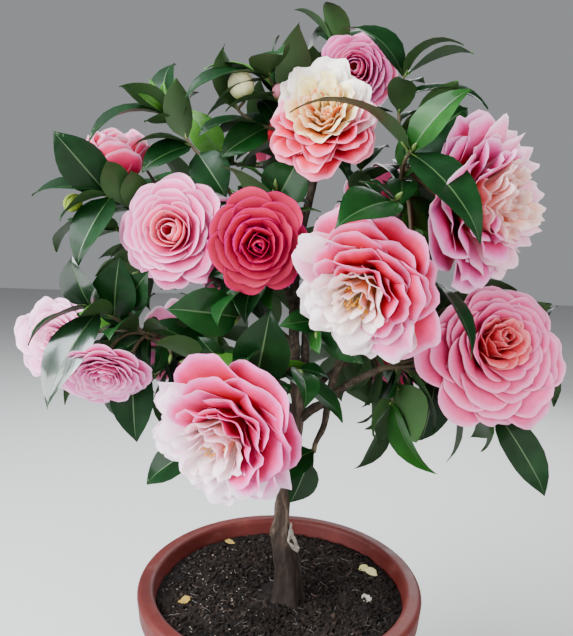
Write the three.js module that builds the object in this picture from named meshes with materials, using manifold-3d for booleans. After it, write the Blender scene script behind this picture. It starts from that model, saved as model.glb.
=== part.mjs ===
// Potted camellia shrub: a grafted trunk in a round pot, its boughs, and a leafy crown in bloom.
// Millimetres, +Z up. The origin is the middle of the pot's flat underside.
// The front of the plant, with most of its blossom, looks along -Y, and +X is to its right.

import * as THREE from 'three';
import { mergeVertices } from 'three/addons/utils/BufferGeometryUtils.js';
import Module from 'manifold-3d';

const wasm = await Module();
wasm.setup();

const at = (x, y, z) => new THREE.Vector3(x, y, z);

// Fit between neighbouring pieces
const CLEARANCE = 0.3;
const SPACE_MARGIN = 0.8;
const LEAF_TO_LIMB = 5;
const SLIVER = 0.05;

// Pot
const POT_HEIGHT = 240;
const POT_BASE_RADIUS = 95;
const POT_NECK_RADIUS = 129;
const POT_RIM_RADIUS = 140;
const POT_RIM_BAND = 24;
const POT_WALL = 5;
const POT_FLOOR = 6;
const POT_LIP_ROUND = 5;
const POT_LIP_EASE = 1.5;
const POT_BAND_STEP = 3;
const POT_BAND_DRAFT = 2;
const POT_FACETS = 30;

// Soil
const SOIL_TOP = 222;
const SOIL_EDGE_RISE = 3;
const SOIL_CREST_RISE = 5;
const SOIL_CREST_RADIUS = 84;
const SOIL_FLAT_RADIUS = 42;

// Trunk: rootstock, graft swelling and scion, as spine points with radii
const TRUNK_TOP = 454;
const TRUNK_SIDES = 10;
const TRUNK_SPINE = [
  [7.6, -9, SOIL_TOP + CLEARANCE, 17.5],
  [7.6, -9, 232, 14.6],
  [7.2, -9, 252, 12.9],
  [4.5, -9, 271, 12.2],
  [0.2, -8, 286, 9.8],
  [-0.4, -7, 301, 7.6],
  [0.4, -6, 318, 7],
  [5, -4, 353, 6.8],
  [11, -2, 392, 6.5],
  [12.8, -1, 425, 7.2],
  [12.2, 0, TRUNK_TOP, 9.6],
];

// Boughs: the limb that carries each, its spine, its radii at foot and tip, and its sides
const BOUGH_SIDES = 6;
const ABOVE_FORK = TRUNK_TOP + CLEARANCE;
const BOUGHS = [
  ['bough_top', [[8, 0, ABOVE_FORK], [6, 0, 495], [6, 4, 560], [16, 4, 612], [22, -2, 640]], 5.5, 3.2],
  ['bough_centre', [[18, 2, ABOVE_FORK], [17.5, 4, 490], [19, 4, 515], [34, -10, 540]], 4, 2.8],
  ['bough_centre_left', [[6, 0, 505], [-2, -14, 530], [-14, -30, 552]], 3, 2.2],
  ['bough_left_high', [[6, 1, 476], [-20, 2, 498], [-60, -2, 530], [-96, -6, 556]], 3.8, 2.6],
  ['bough_left_low', [[12.8, -1, 428], [-20, -6, 446], [-70, -14, 468], [-120, -22, 484]], 4, 2.6],
  ['bough_front_low', [[10.5, -2, 390], [-4, -12, 413], [-12, -26, 432], [-18, -42, 446]], 3.4, 2.4],
  ['bough_right', [[12.5, -1, 402], [26, -9, 416], [40, -18, 427], [57, -23, 444], [84, -28, 460]], 5, 3],
  ['bough_right_high',
    [[40, -18, 427], [46, -20, 455], [62, -26, 500], [88, -34, 552], [93, -44, 600]], 4, 2.8],
  ['bough_spur', [[40, -18, 427], [37, -20, 404], [30, -22, 388]], 3.6, 2.4],
  ['bough_back_top', [[6, 4, 560], [2, 24, 596], [0, 44, 632]], 3, 2.2],
  ['bough_back_right', [[18, 4, 500], [40, 34, 530], [66, 60, 560]], 3.2, 2.4],
  ['bough_back_left', [[12.6, 0, 442], [-10, 34, 482], [-44, 56, 524]], 3.6, 2.4],
  ['bough_back_low', [[12.4, -1, 415], [44, 34, 440], [78, 60, 458]], 3.6, 2.4],
  ['bough_back_side', [[12, -1, 409], [-24, 28, 430], [-72, 50, 452]], 3.6, 2.4],
];

// Blooms: the mass that each belongs to, its middle, its radius, where it faces, and its form
const BLOOMS = [
  ['foliage_top', [21, -72, 674], 55, [-0.25, -0.9, 0.3], 'open'],
  ['foliage_top', [57, -18, 722], 36, [-0.25, -0.85, -0.2], 'open'],
  ['foliage_right_high', [152, -75, 611], 76, [0.66, -0.75, 0], 'open'],
  ['foliage_right_low', [181, -50, 478], 68, [0.2, -0.93, 0.25], 'open'],
  ['foliage_centre', [57, -120, 543], 62, [-0.35, -0.87, -0.35], 'open'],
  ['foliage_centre_left', [-27, -84, 574], 43, [0.05, -0.97, -0.05], 'open'],
  ['foliage_left_high', [-103, -48, 580], 48, [-0.15, -0.97, 0.1], 'open'],
  ['foliage_left_high', [-158, -12, 648], 30, [0.05, -0.35, 0.93], 'cup'],
  ['foliage_left_low', [-212, -20, 480], 44, [-0.35, -0.93, 0.1], 'open'],
  ['foliage_left_low', [-154, -72, 460], 42, [0.05, -0.75, -0.66], 'open'],
  ['foliage_front_low', [-44, -112, 425], 68, [-0.35, -0.87, -0.34], 'open'],
  ['foliage_back_top', [-8, 94, 692], 48, [-0.1, 0.75, 0.6], 'open'],
  ['foliage_back_right', [104, 116, 606], 58, [0.45, 0.85, 0.2], 'open'],
  ['foliage_back_left', [-84, 116, 570], 54, [-0.45, 0.87, 0.05], 'open'],
  ['foliage_back_low', [124, 110, 462], 52, [0.6, 0.75, -0.2], 'open'],
  ['foliage_back_side', [-122, 104, 458], 50, [-0.6, 0.75, -0.15], 'open'],
];

// Buds: the mass, the middle and the radius of each
const BUDS = [
  ['foliage_top', [-46, -40, 704], 11],
  ['foliage_top', [-14, -36, 701], 6],
  ['foliage_left_high', [-195, -26, 603], 8],
];

// Masses: the bough whose tip carries each, its hub, the tips of its leafy shoots, and its seed
const MASSES = [
  ['foliage_top', 'bough_top', [28, -6, 664],
    [[36, 0, 752], [-24, -34, 716], [8, 26, 730], [-52, -24, 690], [64, 22, 700]], 3],
  ['foliage_centre', 'bough_centre', [52, -36, 548],
    [[77, -116, 608], [24, -70, 500], [70, -40, 500]], 5],
  ['foliage_centre_left', 'bough_centre_left', [-20, -38, 566],
    [[-114, -20, 684], [-14, -50, 618], [-44, -56, 506], [-62, -30, 560]], 7],
  ['foliage_left_high', 'bough_left_high', [-108, -8, 572],
    [[-172, -28, 616], [-140, 10, 640], [-190, -4, 584], [-150, 24, 540], [-96, 30, 612]], 11],
  ['foliage_left_low', 'bough_left_low', [-136, -26, 488],
    [[-176, -46, 512], [-150, -34, 512], [-104, -40, 470], [-150, -44, 446], [-170, 6, 470]], 35],
  ['foliage_front_low', 'bough_front_low', [-22, -52, 450],
    [[-34, -62, 470], [-84, -60, 470], [10, -70, 466], [-66, -60, 398]], 17],
  ['foliage_right_low', 'bough_right', [104, -30, 464],
    [[136, -28, 438], [98, -34, 430], [197, -28, 424], [160, 4, 520], [220, 0, 490]], 19],
  ['foliage_right_high', 'bough_right_high', [92, -52, 632],
    [[90, -50, 716], [90, -98, 646], [120, -40, 690], [112, -86, 548], [160, -20, 640], [130, 4, 590]], 9],
  ['foliage_spur', 'bough_spur', [28, -23, 378],
    [[20, -30, 362]], 250],
  ['foliage_back_top', 'bough_back_top', [0, 50, 648],
    [[-40, 60, 690], [40, 76, 690], [-14, 60, 722], [-70, 40, 656]], 31],
  ['foliage_back_right', 'bough_back_right', [74, 66, 572],
    [[70, 60, 652], [146, 60, 616], [120, 76, 556], [60, 110, 560], [150, 80, 640]], 37],
  ['foliage_back_left', 'bough_back_left', [-54, 62, 536],
    [[-50, 70, 620], [-120, 60, 610], [-20, 110, 520], [-140, 50, 560]], 41],
  ['foliage_back_low', 'bough_back_low', [88, 66, 462],
    [[60, 100, 440], [150, 60, 440], [110, 70, 400], [170, 56, 500], [90, 120, 510]], 43],
  ['foliage_back_side', 'bough_back_side', [-84, 56, 456],
    [[-60, 90, 430], [-140, 50, 430], [-100, 60, 392], [-176, 50, 480], [-80, 100, 490]], 47],
];

// Leading leaves: the mass, base, tip, width, where the upper face looks, and the arch
const LEADING_LEAVES = [
  ['foliage_right_high', [86, -95, 647], [-2, -140, 668], 26, [0, -0.2, 1], 0.16],
  ['foliage_right_high', [88, -105, 640], [133, -150, 580], 34, [0.2, -0.9, 0.35], 0.1],
  ['foliage_right_high', [91, -75, 650], [143, -60, 690], 34, [-0.2, -0.9, 0.4], 0.05],
  ['foliage_right_high', [85, -55, 697], [161, -60, 691], 30, [0, -0.4, 0.9], 0.12],
  ['foliage_right_high', [88, -50, 720], [40, -44, 754], 30, [0.3, -0.7, 0.65], 0.16],
  ['foliage_right_high', [89, -50, 717], [128, -84, 731], 26, [0, -0.3, 1], 0.2],
  ['foliage_centre', [77, -126, 610], [30, -172, 586], 34, [0, -0.75, 0.65], 0.06],
  ['foliage_top', [-20, -34, 722], [-92, -58, 690], 28, [0, -0.4, 0.9], 0.14],
  ['foliage_top', [40, 0, 752], [24, -44, 774], 26, [0.1, -0.5, 0.85], 0.1],
  ['foliage_top', [-25, -26, 691], [-79, -50, 667], 26, [0, -0.4, 1], 0.1],
  ['foliage_top', [-23, -20, 677], [-62, -40, 648], 28, [0.2, -0.8, 0.5], 0.06],
  ['foliage_centre_left', [-110, -26, 683], [-176, -45, 656], 34, [0, -0.4, 1], 0.18],
  ['foliage_centre_left', [-95, -16, 651], [-130, -46, 632], 30, [0, -0.7, 0.7], 0.08],
  ['foliage_centre_left', [-91, -16, 655], [-138, -50, 652], 24, [0, -0.2, 1], 0.12],
  ['foliage_centre_left', [-86, -16, 647], [-57, -46, 612], 32, [0, -0.9, 0.4], 0.05],
  ['foliage_centre_left', [-45, -60, 502], [-98, -88, 518], 38, [0, -0.9, 0.3], 0.05],
  ['foliage_left_high', [-180, -30, 623], [-222, -50, 609], 26, [0.1, -0.4, 1], 0.08],
  ['foliage_left_high', [-161, -30, 618], [-202, -52, 660], 36, [0, -0.95, 0.3], 0.06],
  ['foliage_left_high', [-160, -36, 606], [-181, -62, 550], 34, [-0.3, -0.9, 0.2], 0.06],
  ['foliage_centre_left', [-18, -46, 606], [4, -52, 644], 38, [0, -0.95, 0.3], 0.04],
  ['foliage_front_low', [-30, -64, 446], [-15, -72, 514], 44, [0.1, -1, 0.1], 0.05],
  ['foliage_left_low', [-146, -32, 470], [-135, -42, 388], 36, [0, -1, 0], 0.05],
  ['foliage_left_low', [-182, -48, 502], [-184, -66, 554], 34, [-0.3, -0.8, 0.5], 0.06],
  ['foliage_left_low', [-156, -38, 500], [-146, -56, 556], 36, [0.1, -0.9, 0.4], 0.06],
  ['foliage_left_low', [-152, -40, 508], [-122, -56, 544], 28, [0.3, -0.8, 0.4], 0.06],
  ['foliage_left_low', [-166, -52, 502], [-193, -104, 436], 35, [-0.2, -0.85, 0.4], 0.08],
  ['foliage_right_low', [196, -34, 420], [240, -48, 352], 32, [0.2, -0.95, 0.1], 0.06],
  ['foliage_right_low', [137, -26, 452], [128, -26, 392], 34, [0.1, -1, 0.1], 0.04],
  ['foliage_right_high', [115, -100, 550], [141, -128, 494], 24, [0.7, -0.5, 0.5], 0.1],
  ['foliage_spur', [26, -26, 370], [8, -46, 338], 30, [0.3, -0.9, 0.1], 0.04],
];

// The leaves that the rule deals out: their size and form
const LEAF_LENGTH = [68, 92];
const LEAF_SHAPE = 0.42;
const LEAF_THICKNESS = 1.4;
const LEAF_FOLD = 0.22;
const LEAF_ARCH = [0.04, 0.14];

// How they stand on a twig: steps and turns along it, lean off it, and which way they look
const LEAF_SINK = 3;
const LEAF_STEP = 15;
const LEAF_TURN = 2.399963;
const LEAF_DROOP = 0.35;
const LEAF_SKYWARD = 0.9;
const LEAF_TWIST = 0.3;
const LEAFY_LENGTH = 62;
const LEAVES_AT_TIP = 2;
const SHOOT_SPREAD = [0.5, 1.15];
const LEAVES_UNDER_BLOOM = 4;
const UNDER_BLOOM_SPREAD = [1.2, 1.7];

// How far apart they keep, and how one that does not fit is tried again
const LEAF_GAP = 19;
const LEAF_TRIES = 8;
const TRY_TURN = 0.9;
const TRY_SHRINK = 0.07;

// Stems and twigs
const STEM_TIP_RADIUS = 2.4;
const STEM_SIDES = 5;
const STEM_RINGS = 3;
const STEM_BRANCHING = 0.8;
const TWIG_RADIUS = [2, 1.3];
const TWIG_SIDES = 3;
const TWIG_RINGS = 2;
const BLOOM_STALK_RADIUS = 1.7;
const BLOOM_STEP = 5;
const BLOOM_SINK = 0.12;
const LONGEST_STALK = 16;

// Seeded numbers, the same on every run
function seededNumbers(seed) {
  let state = seed;
  return (low, high) => {
    state = (state * 1664525 + 1013904223) % 4294967296;
    return low + (high - low) * (state / 4294967296);
  };
}

// Solids
function solidOf(points, faces) {
  const vertProperties = new Float32Array(points.length * 3);
  points.forEach((point, index) => point.toArray(vertProperties, index * 3));
  const triVerts = new Uint32Array(faces.flat());
  return new wasm.Manifold(new wasm.Mesh({ numProp: 3, vertProperties, triVerts }));
}

function solidOfGeometry(geometry) {
  const bare = geometry.clone();
  bare.deleteAttribute('normal');
  bare.deleteAttribute('uv');
  const merged = mergeVertices(bare);
  const vertProperties = new Float32Array(merged.attributes.position.array);
  const triVerts = new Uint32Array(merged.index.array);
  return new wasm.Manifold(new wasm.Mesh({ numProp: 3, vertProperties, triVerts }));
}

function joined(solids) {
  if (solids.length === 1) return solids[0];
  const half = Math.ceil(solids.length / 2);
  return joined(solids.slice(0, half)).add(joined(solids.slice(half)));
}

// The largest piece of a solid: loose scraps go and sealed hollows are filled
function largestPiece(solid) {
  const pieces = solid.decompose().sort((one, other) => other.volume() - one.volume());
  return pieces[0];
}

// A solid with the edges shorter than a sliver drawn together, where the surface stays closed
function withoutSlivers(solid) {
  const { vertProperties, triVerts } = solid.getMesh();
  const inThrees = (list) => Array.from({ length: list.length / 3 }, (_, index) => [
    list[index * 3],
    list[index * 3 + 1],
    list[index * 3 + 2],
  ]);
  const corners = inThrees(vertProperties).map((corner) => at(...corner));
  let faces = inThrees(triVerts);
  const ring = (corner) => new Set(faces.filter((face) => face.includes(corner)).flat());
  const canMeet = ([a, b]) => {
    const [ringA, ringB] = [ring(a), ring(b)];
    return [...ringA].filter((corner) => ringB.has(corner)).length === 4;
  };
  const nextShortEdge = () => faces
    .flatMap(([a, b, c]) => [[a, b], [b, c], [c, a]])
    .filter(([a, b]) => a < b && corners[a].distanceTo(corners[b]) < SLIVER)
    .find(canMeet);
  for (let edge = nextShortEdge(); edge; edge = nextShortEdge()) {
    const [kept, dropped] = edge;
    faces = faces
      .map((face) => face.map((corner) => (corner === dropped ? kept : corner)))
      .filter(([a, b, c]) => a !== b && b !== c && c !== a);
  }
  return solidOf(corners, faces);
}

function geometryOf(solid) {
  const { vertProperties, triVerts } = largestPiece(withoutSlivers(largestPiece(solid))).getMesh();
  const geometry = new THREE.BufferGeometry();
  geometry.setAttribute('position', new THREE.Float32BufferAttribute(vertProperties, 3));
  geometry.setIndex(Array.from(triVerts));
  geometry.computeVertexNormals();
  return geometry;
}

// A limb or twig: rings of a given radius along a path, closed at both ends
function sweep(path, radii, sides) {
  const points = [];
  let across = null;
  path.forEach((point, index) => {
    const ahead = path[Math.min(index + 1, path.length - 1)];
    const behind = path[Math.max(index - 1, 0)];
    const along = ahead.clone().sub(behind).normalize();
    if (across === null) {
      across = Math.abs(along.z) < 0.9 ? at(0, 0, 1) : at(1, 0, 0);
    }
    across = across.clone().addScaledVector(along, -across.dot(along)).normalize();
    const other = along.clone().cross(across);
    for (let k = 0; k < sides; k += 1) {
      const angle = (2 * Math.PI * k) / sides;
      points.push(point.clone()
        .addScaledVector(across, radii[index] * Math.cos(angle))
        .addScaledVector(other, radii[index] * Math.sin(angle)));
    }
  });
  const faces = [];
  const last = (path.length - 1) * sides;
  for (let ring = 0; ring < path.length - 1; ring += 1) {
    for (let k = 0; k < sides; k += 1) {
      const next = (k + 1) % sides;
      const [a, b] = [ring * sides + k, ring * sides + next];
      faces.push([a, b, b + sides], [a, b + sides, a + sides]);
    }
  }
  for (let k = 1; k < sides - 1; k += 1) {
    faces.push([0, k + 1, k], [last, last + k, last + k + 1]);
  }
  return solidOf(points, faces);
}

function spine(corners, steps) {
  const curve = new THREE.CatmullRomCurve3(corners.map((c) => at(...c)), false, 'catmullrom', 0.5);
  return curve.getPoints(steps);
}

function taper(first, last, count) {
  return Array.from({ length: count }, (_, index) => first + ((last - first) * index) / (count - 1));
}

// Limbs, each cut clear of the ones before it
const limbs = new Map();

function addLimb(name, path, radii, sides) {
  let body = sweep(path, radii, sides);
  for (const earlier of limbs.values()) body = body.subtract(earlier.grown);
  const grown = sweep(path, radii.map((radius) => radius + CLEARANCE), sides);
  limbs.set(name, { path, radii, body, grown });
}

const trunkPath = TRUNK_SPINE.map(([x, y, z]) => at(x, y, z));
addLimb('trunk', trunkPath, TRUNK_SPINE.map((corner) => corner[3]), TRUNK_SIDES);

for (const [name, corners, foot, tip] of BOUGHS) {
  const path = spine(corners, corners.length + 1);
  addLimb(name, path, taper(foot, tip, path.length), BOUGH_SIDES);
}

// The space that each mass keeps to: the points nearer to its own blooms and shoots
const BLOOM_SPACE = 6;
const SHOOT_SPACE = 34;
const HUB_SPACE = 22;
const sites = [];
for (const [mass, middle, radius] of BLOOMS) {
  sites.push({ mass, middle: at(...middle), radius: radius + BLOOM_SPACE });
}
for (const [mass, , hub, shoots] of MASSES) {
  sites.push({ mass, middle: at(...hub), radius: HUB_SPACE });
  for (const shoot of shoots) sites.push({ mass, middle: at(...shoot), radius: SHOOT_SPACE });
}

function keepsToSpace(mass, point) {
  const reach = (site) => site.middle.distanceToSquared(point) - site.radius * site.radius;
  let own = null;
  for (const site of sites) {
    if (site.mass === mass && (own === null || reach(site) < reach(own))) own = site;
  }
  return sites.every((site) => site.mass === mass
    || (reach(site) - reach(own)) / (2 * own.middle.distanceTo(site.middle)) > SPACE_MARGIN);
}

function distanceToSpan(point, start, end) {
  const span = end.clone().sub(start);
  const part = THREE.MathUtils.clamp(point.clone().sub(start).dot(span) / span.lengthSq(), 0, 1);
  return point.distanceTo(start.clone().addScaledVector(span, part));
}

function clearOfLimbs(point, gap) {
  for (const { path, radii } of limbs.values()) {
    for (let index = 0; index < path.length - 1; index += 1) {
      const distance = distanceToSpan(point, path[index], path[index + 1]);
      if (distance < Math.max(radii[index], radii[index + 1]) + gap) return false;
    }
  }
  return true;
}

// Blooms: tiers of scalloped petals, each tier a radius, a height and the way its lobes are cut,
// on a cone that narrows to the twig
const BLOOM_FACETS = 16;
const SCALLOP = 0.07;
const DRAW_IN = 0.96;
const FORMS = {
  open: {
    front: 0.3,
    back: 0.46,
    tiers: [[0.28, 0.3, 0], [0.36, 0.08, 0], [0.66, 0.2, -1], [0.7, 0.03, 0], [1, 0, 1], [0.6, -0.3, 0]],
  },
  cup: {
    front: 0,
    back: 1,
    tiers: [[0.4, 0.1, 0], [0.66, 0.78, 1], [0.8, 0.7, 0], [0.98, 0.1, -1], [0.86, -0.4, 0],
      [0.4, -0.9, 0]],
  },
};
// The room that a bloom keeps free of leaves, as parts of its radius
const GUARD_FRONT = 0.4;
const GUARD_RIM = -0.1;
const GUARD_SIDE = 0.97;

function facingFrame(facing) {
  const front = at(...facing).normalize();
  const up = Math.abs(front.z) < 0.95 ? at(0, 0, 1) : at(0, 1, 0);
  const top = up.addScaledVector(front, -up.dot(front)).normalize();
  return { front, top, right: top.clone().cross(front) };
}

const blooms = BLOOMS.map(([mass, middle, radius, facing, form]) => {
  const frame = facingFrame(facing);
  const centre = at(...middle);
  const foot = centre.clone().addScaledVector(frame.front, -FORMS[form].back * radius);
  return { mass, centre, radius, form: FORMS[form], foot, ...frame };
});

function bloomSolid(bloom) {
  const { mass, centre, radius, form, front, top, right } = bloom;
  const place = (out, turn, height) => {
    const offset = at(0, 0, 0)
      .addScaledVector(right, out * Math.cos(turn))
      .addScaledVector(top, out * Math.sin(turn))
      .addScaledVector(front, height);
    while (!keepsToSpace(mass, centre.clone().add(offset))) offset.multiplyScalar(DRAW_IN);
    return centre.clone().add(offset);
  };
  const points = [place(0, 0, form.front * radius)];
  for (const [out, height, scallop] of form.tiers) {
    for (let k = 0; k < BLOOM_FACETS; k += 1) {
      const isNotch = k % 2 === (scallop > 0 ? 1 : 0) && scallop !== 0;
      const turn = (2 * Math.PI * k) / BLOOM_FACETS;
      points.push(place(out * radius * (isNotch ? 1 - 2 * SCALLOP : 1), turn, height * radius));
    }
  }
  points.push(place(0, 0, -form.back * radius));
  const faces = [];
  const end = points.length - 1;
  for (let k = 0; k < BLOOM_FACETS; k += 1) {
    const next = (k + 1) % BLOOM_FACETS;
    faces.push([0, 1 + k, 1 + next], [end, end - BLOOM_FACETS + next, end - BLOOM_FACETS + k]);
    for (let tier = 0; tier < form.tiers.length - 1; tier += 1) {
      const a = 1 + tier * BLOOM_FACETS;
      const b = a + BLOOM_FACETS;
      faces.push([a + k, b + k, b + next], [a + k, b + next, a + next]);
    }
  }
  return solidOf(points, faces);
}

function clearOfBlooms(point) {
  return blooms.every(({ centre, radius, front, form }) => {
    const offset = point.clone().sub(centre);
    const height = offset.dot(front) / radius;
    const out = Math.sqrt(Math.max(offset.lengthSq() / (radius * radius) - height * height, 0));
    if (height > GUARD_FRONT || height < -form.back) return true;
    if (height > GUARD_RIM) return out > GUARD_SIDE;
    return out > (height + form.back) / (form.back + GUARD_RIM);
  });
}

// Buds: a blunt egg on a short twig
const BUD_FACETS = 6;
const BUD_TIERS = 4;
const BUD_STRETCH = 1.15;

function budSolid(middle, radius) {
  const geometry = new THREE.SphereGeometry(radius, BUD_FACETS, BUD_TIERS);
  geometry.rotateX(Math.PI / 2);
  geometry.scale(1, 1, BUD_STRETCH);
  geometry.translate(...middle);
  return solidOfGeometry(geometry);
}

// Leaves: an arched, folded blade with a pointed tip, thickest at its middle
const LEAF_OUTLINE = [[0, 0], [0.34, 0.5], [0.7, 0.38], [1, 0], [0.7, -0.38], [0.34, -0.5]];

function leafFrame(base, tip, face) {
  const along = tip.clone().sub(base);
  const length = along.length();
  along.divideScalar(length);
  const upper = face.clone().addScaledVector(along, -face.dot(along)).normalize();
  return { base, along, length, upper, right: along.clone().cross(upper) };
}

function onLeaf(leaf, part, out) {
  const rise = leaf.arch * leaf.length * 4 * part * (1 - part) + LEAF_FOLD * Math.abs(out);
  return leaf.base.clone()
    .addScaledVector(leaf.along, leaf.length * part)
    .addScaledVector(leaf.right, out)
    .addScaledVector(leaf.upper, rise);
}

function leafSolid(leaf) {
  const points = LEAF_OUTLINE.map(([part, out]) => onLeaf(leaf, part, out * leaf.width));
  const middle = onLeaf(leaf, 0.5, 0);
  points.push(middle.clone().addScaledVector(leaf.upper, LEAF_THICKNESS / 2));
  points.push(middle.clone().addScaledVector(leaf.upper, -LEAF_THICKNESS / 2));
  const faces = [];
  const count = LEAF_OUTLINE.length;
  for (let k = 0; k < count; k += 1) {
    const next = (k + 1) % count;
    faces.push([count, k, next], [count + 1, next, k]);
  }
  return solidOf(points, faces);
}

// A leaf fits if its test points lie in its mass's space, off the limbs and blooms,
// and its midrib keeps its distance from the midribs of the other leaves
const BLADE_PARTS = [0.25, 0.45, 0.65, 0.85, 1];
const BLADE_HALF_WIDTH = 0.45;
const MIDRIB_PARTS = [0.3, 0.55, 0.8, 1];

function leafFits(mass, leaf, others) {
  for (const part of BLADE_PARTS) {
    const half = part === 1 ? 0 : leaf.width * BLADE_HALF_WIDTH;
    for (const out of [-half, 0, half]) {
      const point = onLeaf(leaf, part, out);
      if (!keepsToSpace(mass, point) || !clearOfBlooms(point)) return false;
      if (!clearOfLimbs(point, LEAF_TO_LIMB)) return false;
    }
  }
  const midribs = MIDRIB_PARTS.map((part) => onLeaf(leaf, part, 0));
  return others.every((other) => MIDRIB_PARTS.every((part) => {
    const place = onLeaf(other, part, 0);
    return midribs.every((point) => point.distanceTo(place) > LEAF_GAP);
  }));
}

// Twigs: a bent path from one place to another, leaving one way and arriving another
const BEND_REACH = 0.4;

function bend(start, leaving, end, arriving, rings) {
  const reach = start.distanceTo(end) * BEND_REACH;
  const curve = new THREE.CubicBezierCurve3(
    start,
    start.clone().addScaledVector(leaving, reach),
    end.clone().addScaledVector(arriving, -reach),
    end,
  );
  return curve.getPoints(rings);
}

// The place on a path that lies a given length back from its tip, and the way the path runs there
function backAlong(path, length) {
  let left = length;
  let index = path.length - 1;
  while (index > 1 && left > path[index].distanceTo(path[index - 1])) {
    left -= path[index].distanceTo(path[index - 1]);
    index -= 1;
  }
  const along = path[index].clone().sub(path[index - 1]);
  const back = Math.min(left, along.length());
  along.normalize();
  return { root: path[index].clone().addScaledVector(along, -back), along };
}

// One mass: a stem from the bough's tip to the hub, twigs to blooms, buds and shoots, and leaves
const CROWN_MIDDLE = at(5, 0, 540);

function growMass([mass, bough, hubCorner, shoots, seed]) {
  const number = seededNumbers(seed);
  const carrier = limbs.get(bough);
  const end = carrier.path.length - 1;
  const outward = carrier.path[end].clone().sub(carrier.path[end - 1]).normalize();
  const start = carrier.path[end].clone().addScaledVector(outward, CLEARANCE);
  const hub = at(...hubCorner);
  const stem = bend(start, outward, hub, hub.clone().sub(start).normalize(), STEM_RINGS);
  const pieces = [sweep(stem, taper(carrier.radii[end], STEM_TIP_RADIUS, stem.length), STEM_SIDES)];
  const twigs = [stem];
  const leaves = [];

  const addTwig = (path, first, last) => {
    pieces.push(sweep(path, taper(first, last, path.length), TWIG_SIDES));
    twigs.push(path);
  };
  const addLeaf = (leaf) => {
    if (!leafFits(mass, leaf, leaves)) return false;
    pieces.push(leafSolid(leaf));
    leaves.push(leaf);
    return true;
  };
  const dealLeaves = (path, count, firstTurn, spread) => {
    for (let k = 0; k < count; k += 1) {
      const { root, along } = backAlong(path, LEAF_SINK + k * LEAF_STEP);
      const frame = facingFrame(along.toArray());
      for (let attempt = 0; attempt < LEAF_TRIES; attempt += 1) {
        const turn = firstTurn + k * LEAF_TURN + attempt * TRY_TURN;
        const lean = number(spread[0], spread[1]);
        const way = at(0, 0, 0)
          .addScaledVector(frame.right, Math.cos(turn) * Math.sin(lean))
          .addScaledVector(frame.top, Math.sin(turn) * Math.sin(lean))
          .addScaledVector(frame.front, Math.cos(lean));
        way.z -= number(0, LEAF_DROOP);
        way.normalize();
        const length = number(LEAF_LENGTH[0], LEAF_LENGTH[1]) * (1 - TRY_SHRINK * attempt);
        const face = along.clone()
          .addScaledVector(at(0, 0, 1), LEAF_SKYWARD)
          .addScaledVector(frame.right, number(-LEAF_TWIST, LEAF_TWIST));
        const leaf = leafFrame(root, root.clone().addScaledVector(way, length), face);
        const arch = number(LEAF_ARCH[0], LEAF_ARCH[1]);
        if (addLeaf({ ...leaf, width: length * LEAF_SHAPE, arch })) break;
      }
    }
  };
  const nearestOnTwigs = (point) => {
    let best = { root: stem[0], gap: Infinity };
    for (const path of twigs) {
      const { root: sunkTip } = backAlong(path, LEAF_SINK);
      const inner = [...path.slice(0, -1), sunkTip];
      for (let index = 1; index < inner.length; index += 1) {
        const span = new THREE.Line3(inner[index - 1], inner[index]);
        const root = span.closestPointToPoint(point, true, at(0, 0, 0));
        const gap = root.distanceTo(point);
        if (gap < best.gap) best = { root, gap };
      }
    }
    return best;
  };

  const heading = stem[stem.length - 1].clone().sub(stem[stem.length - 2]).normalize();
  const stemLength = start.distanceTo(hub);
  const ownBlooms = blooms.filter((bloom) => bloom.mass === mass);
  ownBlooms.forEach((bloom, index) => {
    pieces.push(bloomSolid(bloom));
    const sunk = bloom.foot.clone().addScaledVector(bloom.front, bloom.radius * BLOOM_SINK);
    const { root } = backAlong(stem, BLOOM_STEP * index);
    addTwig(bend(root, heading, sunk, bloom.front, TWIG_RINGS), TWIG_RADIUS[0], BLOOM_STALK_RADIUS);
  });
  shoots.forEach((shoot, index) => {
    const tip = at(...shoot);
    const back = STEM_BRANCHING * stemLength * ((index + 0.5) / shoots.length);
    const { root, along } = backAlong(stem, back);
    const toTip = tip.clone().sub(root).normalize();
    const leaving = along.clone().add(toTip).normalize();
    const arriving = tip.clone().sub(CROWN_MIDDLE).normalize().add(toTip).normalize();
    addTwig(bend(root, leaving, tip, arriving, TWIG_RINGS), TWIG_RADIUS[0], TWIG_RADIUS[1]);
  });
  for (const [, base, tip, width, face, arch] of LEADING_LEAVES.filter(([owner]) => owner === mass)) {
    const { root, gap } = nearestOnTwigs(at(...base));
    if (gap > LONGEST_STALK) throw new Error(`${mass}: no twig near the leaf at ${base}`);
    const leaf = { ...leafFrame(root, at(...tip), at(...face)), width, arch };
    pieces.push(leafSolid(leaf));
    leaves.push(leaf);
  }
  for (const [, middle, radius] of BUDS.filter(([owner]) => owner === mass)) {
    pieces.push(budSolid(middle, radius));
    const { root } = nearestOnTwigs(at(...middle));
    const away = at(...middle).sub(root).normalize();
    addTwig(bend(root, away, at(...middle), away, 1), TWIG_RADIUS[1], TWIG_RADIUS[1]);
  }
  const shootPaths = twigs.slice(1 + ownBlooms.length, 1 + ownBlooms.length + shoots.length);
  for (const path of shootPaths) {
    const length = path[path.length - 1].distanceTo(path[0]);
    const count = LEAVES_AT_TIP + Math.floor(Math.min(length, LEAFY_LENGTH) / LEAF_STEP);
    dealLeaves(path, count, number(0, 2 * Math.PI), SHOOT_SPREAD);
  }
  for (const path of twigs.slice(1, 1 + ownBlooms.length)) {
    dealLeaves(path.slice(0, -1), LEAVES_UNDER_BLOOM, number(0, 2 * Math.PI), UNDER_BLOOM_SPREAD);
  }
  let body = joined(pieces);
  for (const limb of limbs.values()) body = body.subtract(limb.grown);
  return body;
}

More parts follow.
